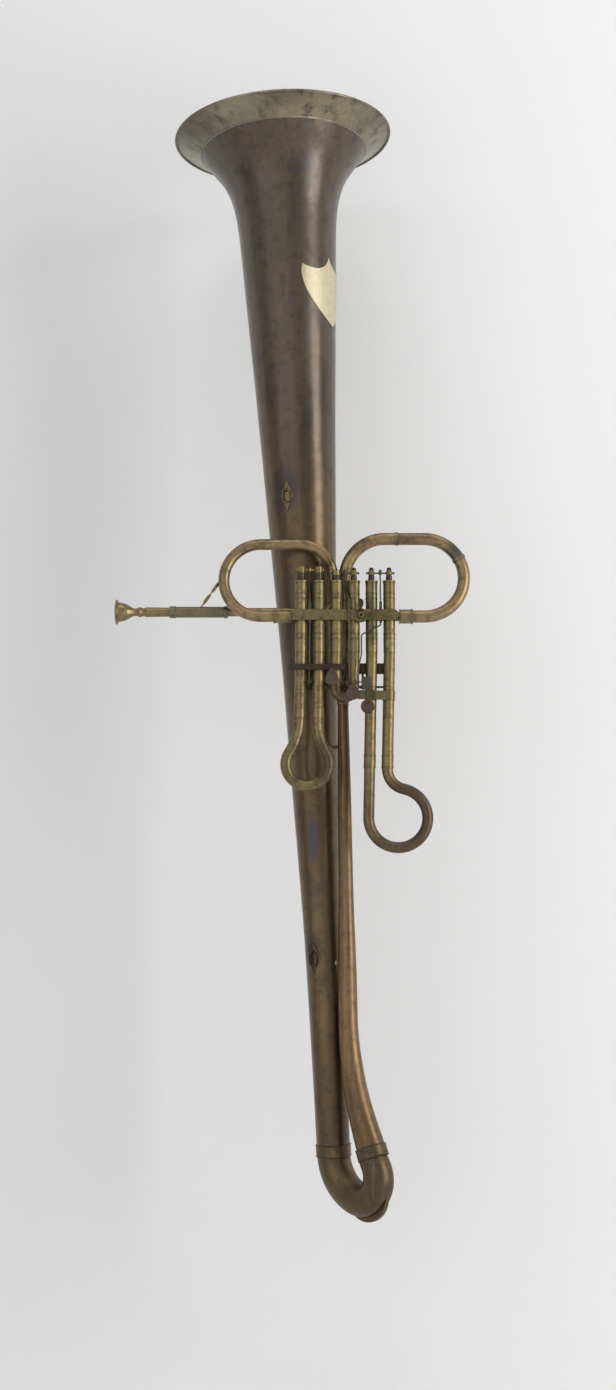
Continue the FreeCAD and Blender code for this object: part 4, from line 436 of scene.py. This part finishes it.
class OphicleideFinishes(PropertyGroup):
    """Colours of the horn's metals."""

    bell_brown: colour_property("Bell brown", "Purple-brown tarnish of the upper bell", (0.108, 0.079, 0.054))
    bell_olive: colour_property("Bell olive", "Olive-brown tarnish of the lower bell", (0.122, 0.076, 0.035))
    bell_bloom: colour_property("Bell bloom", "Blue film on the bell's tarnish", (0.085, 0.088, 0.088))
    body_olive: colour_property("Body olive", "Brown-olive tarnish of the lower body", (0.112, 0.077, 0.042))
    branch_brown: colour_property("Branch brown", "Golden brown tarnish of the branch", (0.158, 0.099, 0.050))
    loop_gold: colour_property("Loop gold", "Golden brown brass of the loops", (0.335, 0.235, 0.122))
    slide_gold: colour_property("Slide gold", "Yellow-olive brass of legs and crooks", (0.250, 0.188, 0.088))
    valve_olive: colour_property("Valve olive", "Olive brass of the valves", (0.260, 0.204, 0.096))
    bar_brown: colour_property("Bar brown", "Olive-brown brass of the bars", (0.200, 0.158, 0.076))
    nickel: colour_property("Nickel silver", "Grey-olive metal of the garland", (0.240, 0.212, 0.142))
    receiver_olive: colour_property("Receiver", "Dull olive nickel of the receiver", (0.185, 0.160, 0.098))
    shield_cream: colour_property("Shield", "Pale metal of the engraver's shield", (0.66, 0.58, 0.41))
    strap_brass: colour_property("Strap plates", "Dull brass of the strap plates", (0.21, 0.155, 0.085))
    mouthpiece_gold: colour_property("Mouthpiece", "Yellow brass of the mouthpiece", (0.27, 0.20, 0.10))
    # Partly painted shade: the rack and rail are near black, their dark tarnish deepened to the shade they
    # sit in between the tubes
    rack_brown_and_shade: colour_property("Rack", "Black-brown of the rack and rail", (0.062, 0.046, 0.030))
    piston_brown: colour_property("Pistons", "Brown of the pistons and their stems", (0.075, 0.058, 0.040))
    crosshead_gold: colour_property("Crosshead", "Brighter brass of the first crosshead", (0.36, 0.27, 0.12))
    touch_copper: colour_property("Touches", "Dark copper brown of the finger plates", (0.066, 0.045, 0.034))
    rod_steel: colour_property("Rods", "Dark steel of the rods and levers", (0.085, 0.064, 0.048))
    backdrop: colour_property("Backdrop", "Pale grey of the floor and wall", (0.88, 0.88, 0.882))


class OphicleideStudio(PropertyGroup):
    """Lights of the studio."""

    key_power: FloatProperty(name="Key", description="Power of the soft light on the right", default=50.0,
                             min=0.0, unit="POWER")
    fill_power: FloatProperty(name="Fill", description="Power of the soft light on the left", default=24.0,
                              min=0.0, unit="POWER")
    top_power: FloatProperty(name="Top", description="Power of the soft light above", default=14.0,
                             min=0.0, unit="POWER")
    ambient: FloatProperty(name="Ambient", description="Strength of the even light all round", default=0.40,
                           min=0.0, max=2.0)


# Dressing of the CAD pieces

def dress(names, material):
    """Gives CAD nodes a material, keeping their shape."""
    for name in names:
        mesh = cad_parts[name].data
        mesh.materials.clear()
        mesh.materials.append(material)


def numbered(*names):
    return [f"{name}_{number}" for name in names for number in (1, 2, 3)]


class OPHICLEIDE_OT_body(Operator):
    """Dresses the bell, bow and branch in dark tarnished brass"""

    bl_idname = "ophicleide.body"
    bl_label = "Dress the body"

    def execute(self, context):
        tones = context.scene.ophicleide_finishes
        bell_wear = {**BELL_WEAR, "film": tones.bell_bloom, "upper_colour": tones.bell_brown}
        lower_pieces = ["bell_ferrule", "bottom_bow", "bow_guard", "branch_ferrule"]
        dress(["bell"], aged_metal("bell_tarnish", tones.bell_olive, bell_wear))
        dress(lower_pieces, aged_metal("body_tarnish", tones.body_olive, LOWER_BODY_WEAR))
        dress(["branch_tube"], aged_metal("branch_tarnish", tones.branch_brown, BRANCH_WEAR))
        return {"FINISHED"}


class OPHICLEIDE_OT_trim(Operator):
    """Dresses the garland, receiver, shield, strap plates and strap rings"""

    bl_idname = "ophicleide.trim"
    bl_label = "Dress the trim"

    def execute(self, context):
        tones = context.scene.ophicleide_finishes
        dress(["bell_garland"], aged_metal("garland_nickel", tones.nickel, GARLAND_WEAR))
        dress(["mouthpiece_receiver"], aged_metal("receiver_nickel", tones.receiver_olive, RECEIVER_WEAR))
        dress(["shield_plate"], aged_metal("shield_nickel", tones.shield_cream, SHIELD_WEAR))
        strap_pieces = ["strap_plates", "upper_strap_ring", "lower_strap_ring"]
        dress(strap_pieces, aged_metal("strap_plate_brass", tones.strap_brass, PLATE_WEAR))
        return {"FINISHED"}


class OPHICLEIDE_OT_loops(Operator):
    """Dresses the loops, mouthpipe, mouthpiece, slide legs and crooks in golden brown brass"""

    bl_idname = "ophicleide.loops"
    bl_label = "Dress the loops and crooks"

    def execute(self, context):
        tones = context.scene.ophicleide_finishes
        loop_pieces = ["right_loop", "left_loop", "loop_rings", "mouthpipe", "twisted_stay"]
        ferrules = ["left_loop_ferrule", "right_loop_ferrule"]
        dress(loop_pieces, aged_metal("loop_brass", tones.loop_gold, LOOP_WEAR))
        dress(ferrules, aged_metal("ferrule_brass", tones.valve_olive, FERRULE_WEAR))
        dress(numbered("crook", "slide_legs"), aged_metal("slide_brass", tones.slide_gold, SLIDE_WEAR))
        dress(["mouthpiece"], aged_metal("mouthpiece_brass", tones.mouthpiece_gold, MOUTHPIECE_WEAR))
        return {"FINISHED"}


class OPHICLEIDE_OT_valves(Operator):
    """Dresses the casings, links, stays, pistons, knobs, bars, socket and screw"""

    bl_idname = "ophicleide.valves"
    bl_label = "Dress the valves"

    def execute(self, context):
        tones = context.scene.ophicleide_finishes
        valve_pieces = [*numbered("valve_casings"), "windway_links", "body_stays", "piston_knobs_1"]
        bars = ["front_plate", "lyre_socket", "clamp_band"]
        dark_bars = ["rear_rack", "stop_rail", "lyre_screw"]
        dress(valve_pieces, aged_metal("valve_brass", tones.valve_olive, VALVE_WEAR))
        dress(bars, aged_metal("bar_brass", tones.bar_brown, BAR_WEAR))
        # Partly painted shade: the rack, rail and lyre screw get the near-black brown of their deep shade
        dress(dark_bars, aged_metal("rack_brown_and_shade", tones.rack_brown_and_shade, RACK_WEAR))
        dress(["piston_knobs_2", "piston_knobs_3"], aged_metal("knob_brass", tones.valve_olive, KNOB_WEAR))
        dress(numbered("pistons"), aged_metal("collar_brown", tones.piston_brown, PISTON_WEAR))
        return {"FINISHED"}


class OPHICLEIDE_OT_action(Operator):
    """Dresses the levers, touches, rods, crossheads and springs"""

    bl_idname = "ophicleide.action"
    bl_label = "Dress the valve action"

    def execute(self, context):
        tones = context.scene.ophicleide_finishes
        steel_pieces = [*numbered("lever", "pull_rod", "valve_spring"), "crosshead_2", "crosshead_3",
                        "lever_axle", "spring_screws"]
        dress(numbered("touch"), aged_metal("touch_brass", tones.touch_copper, TOUCH_WEAR))
        dress(steel_pieces, aged_metal("rod_steel", tones.rod_steel, ROD_WEAR))
        dress(["crosshead_1"], aged_metal("crosshead_brass", tones.crosshead_gold, CROSSHEAD_WEAR))
        return {"FINISHED"}


# Stage

def backdrop_sheet():
    """Floor that curves up into the wall, swept across the studio."""
    sheet = bmesh.new()
    profile = [(STUDIO_FRONT_Y, FLOOR_Z)]
    for step in range(COVE_STEPS + 1):
        turn = QUARTER_TURN * step / COVE_STEPS
        inward = COVE_R * (1 - math.sin(turn))
        rise = COVE_R * (1 - math.cos(turn))
        profile.append((WALL_Y - inward, FLOOR_Z + rise))
    profile.append((WALL_Y, WALL_TOP_Z))
    points = [sheet.verts.new((-STUDIO_HALF_WIDTH, y, z)) for y, z in profile]
    edges = [sheet.edges.new(pair) for pair in zip(points, points[1:])]
    swept = bmesh.ops.extrude_edge_only(sheet, edges=edges)["geom"]
    moved = [item for item in swept if isinstance(item, bmesh.types.BMVert)]
    bmesh.ops.translate(sheet, verts=moved, vec=(2 * STUDIO_HALF_WIDTH, 0, 0))
    for face in sheet.faces:
        face.smooth = True
    mesh = bpy.data.meshes.new("backdrop")
    sheet.to_mesh(mesh)
    sheet.free()
    backdrop = bpy.data.objects.new("backdrop", mesh)
    bpy.context.scene.collection.objects.link(backdrop)
    return backdrop


def backdrop_paint(colour):
    """Matt paint on the sheet's front; its back is clear, so the horn is seen from behind too."""
    material, tree, output = new_material("backdrop_paint")
    paint = node(tree, "ShaderNodeBsdfDiffuse", {"Color": opaque(colour), "Roughness": PAINT_ROUGHNESS})
    clear = node(tree, "ShaderNodeBsdfTransparent")
    side = node(tree, "ShaderNodeNewGeometry").outputs["Backfacing"]
    seen = node(tree, "ShaderNodeLightPath").outputs["Is Camera Ray"]
    behind = computed(tree, "MULTIPLY", side, seen)
    mixed = node(tree, "ShaderNodeMixShader", {0: behind, 1: paint.outputs[0], 2: clear.outputs[0]})
    tree.links.new(mixed.outputs[0], output.inputs["Surface"])
    return material


def soft_light(name, place, size, power, colour):
    """Rectangular area light that faces the horn."""
    lamp = bpy.data.lights.new(name, "AREA")
    lamp.shape = "RECTANGLE"
    lamp.size, lamp.size_y = size
    lamp.energy = power
    lamp.color = colour
    holder = bpy.data.objects.new(name, lamp)
    holder.location = place
    holder.rotation_euler = (Vector(LIGHT_AIM) - Vector(place)).to_track_quat("-Z", "Y").to_euler()
    bpy.context.scene.collection.objects.link(holder)


def photo_camera():
    """Camera that sees the horn as in the photograph."""
    lens = bpy.data.cameras.new("photo_camera")
    lens.sensor_fit = "VERTICAL"
    lens.sensor_height = SENSOR_MM
    lens.lens = SENSOR_MM * FOCAL_PIXELS / PHOTO_HEIGHT
    camera = bpy.data.objects.new("photo_camera", lens)
    camera.location = CAMERA_PLACE
    camera.rotation_euler = (QUARTER_TURN + CAMERA_RISE, 0, 0)
    return camera


def even_air(strength):
    """White world that lights the horn evenly from all round."""
    world = bpy.data.worlds.new("studio_air")
    world.use_nodes = True
    air = world.node_tree.nodes["Background"]
    air.inputs["Color"].default_value = opaque(WHITE)
    air.inputs["Strength"].default_value = strength
    return world


class OPHICLEIDE_OT_stage(Operator):
    """Sets up the camera, the pale studio and its soft lights"""

    bl_idname = "ophicleide.stage"
    bl_label = "Set the stage"

    def execute(self, context):
        scene = context.scene
        studio = scene.ophicleide_studio
        camera = photo_camera()
        scene.collection.objects.link(camera)
        scene.camera = camera
        backdrop = backdrop_sheet()
        backdrop.data.materials.append(backdrop_paint(scene.ophicleide_finishes.backdrop))
        soft_light("key_light", KEY_PLACE, KEY_SIZE, studio.key_power, KEY_COLOUR)
        soft_light("fill_light", FILL_PLACE, FILL_SIZE, studio.fill_power, FILL_COLOUR)
        soft_light("top_light", TOP_PLACE, TOP_SIZE, studio.top_power, WHITE)
        scene.world = even_air(studio.ambient)
        scene.view_settings.view_transform = "Standard"
        return {"FINISHED"}


class OPHICLEIDE_PT_panel(Panel):
    """Lists the steps that dress the horn"""

    bl_label = "Ophicleide"
    bl_idname = "OPHICLEIDE_PT_panel"
    bl_space_type = "VIEW_3D"
    bl_region_type = "UI"
    bl_category = "Ophicleide"

    def draw(self, context):
        layout = self.layout
        for step in STEPS:
            layout.operator(step.bl_idname)
        for settings in (context.scene.ophicleide_finishes, context.scene.ophicleide_studio):
            for name in settings.__annotations__:
                layout.prop(settings, name)


STEPS = (
    OPHICLEIDE_OT_stage,
    OPHICLEIDE_OT_body,
    OPHICLEIDE_OT_trim,
    OPHICLEIDE_OT_loops,
    OPHICLEIDE_OT_valves,
    OPHICLEIDE_OT_action,
)
CLASSES = (OphicleideFinishes, OphicleideStudio, *STEPS, OPHICLEIDE_PT_panel)


def register():
    for cls in CLASSES:
        bpy.utils.register_class(cls)
    bpy.types.Scene.ophicleide_finishes = PointerProperty(type=OphicleideFinishes)
    bpy.types.Scene.ophicleide_studio = PointerProperty(type=OphicleideStudio)


def unregister():
    del bpy.types.Scene.ophicleide_studio
    del bpy.types.Scene.ophicleide_finishes
    for cls in reversed(CLASSES):
        bpy.utils.unregister_class(cls)


def main():
    register()
    for step in STEPS:
        family, action = step.bl_idname.split(".")
        getattr(getattr(bpy.ops, family), action)()


if __name__ == "__main__":
    main()
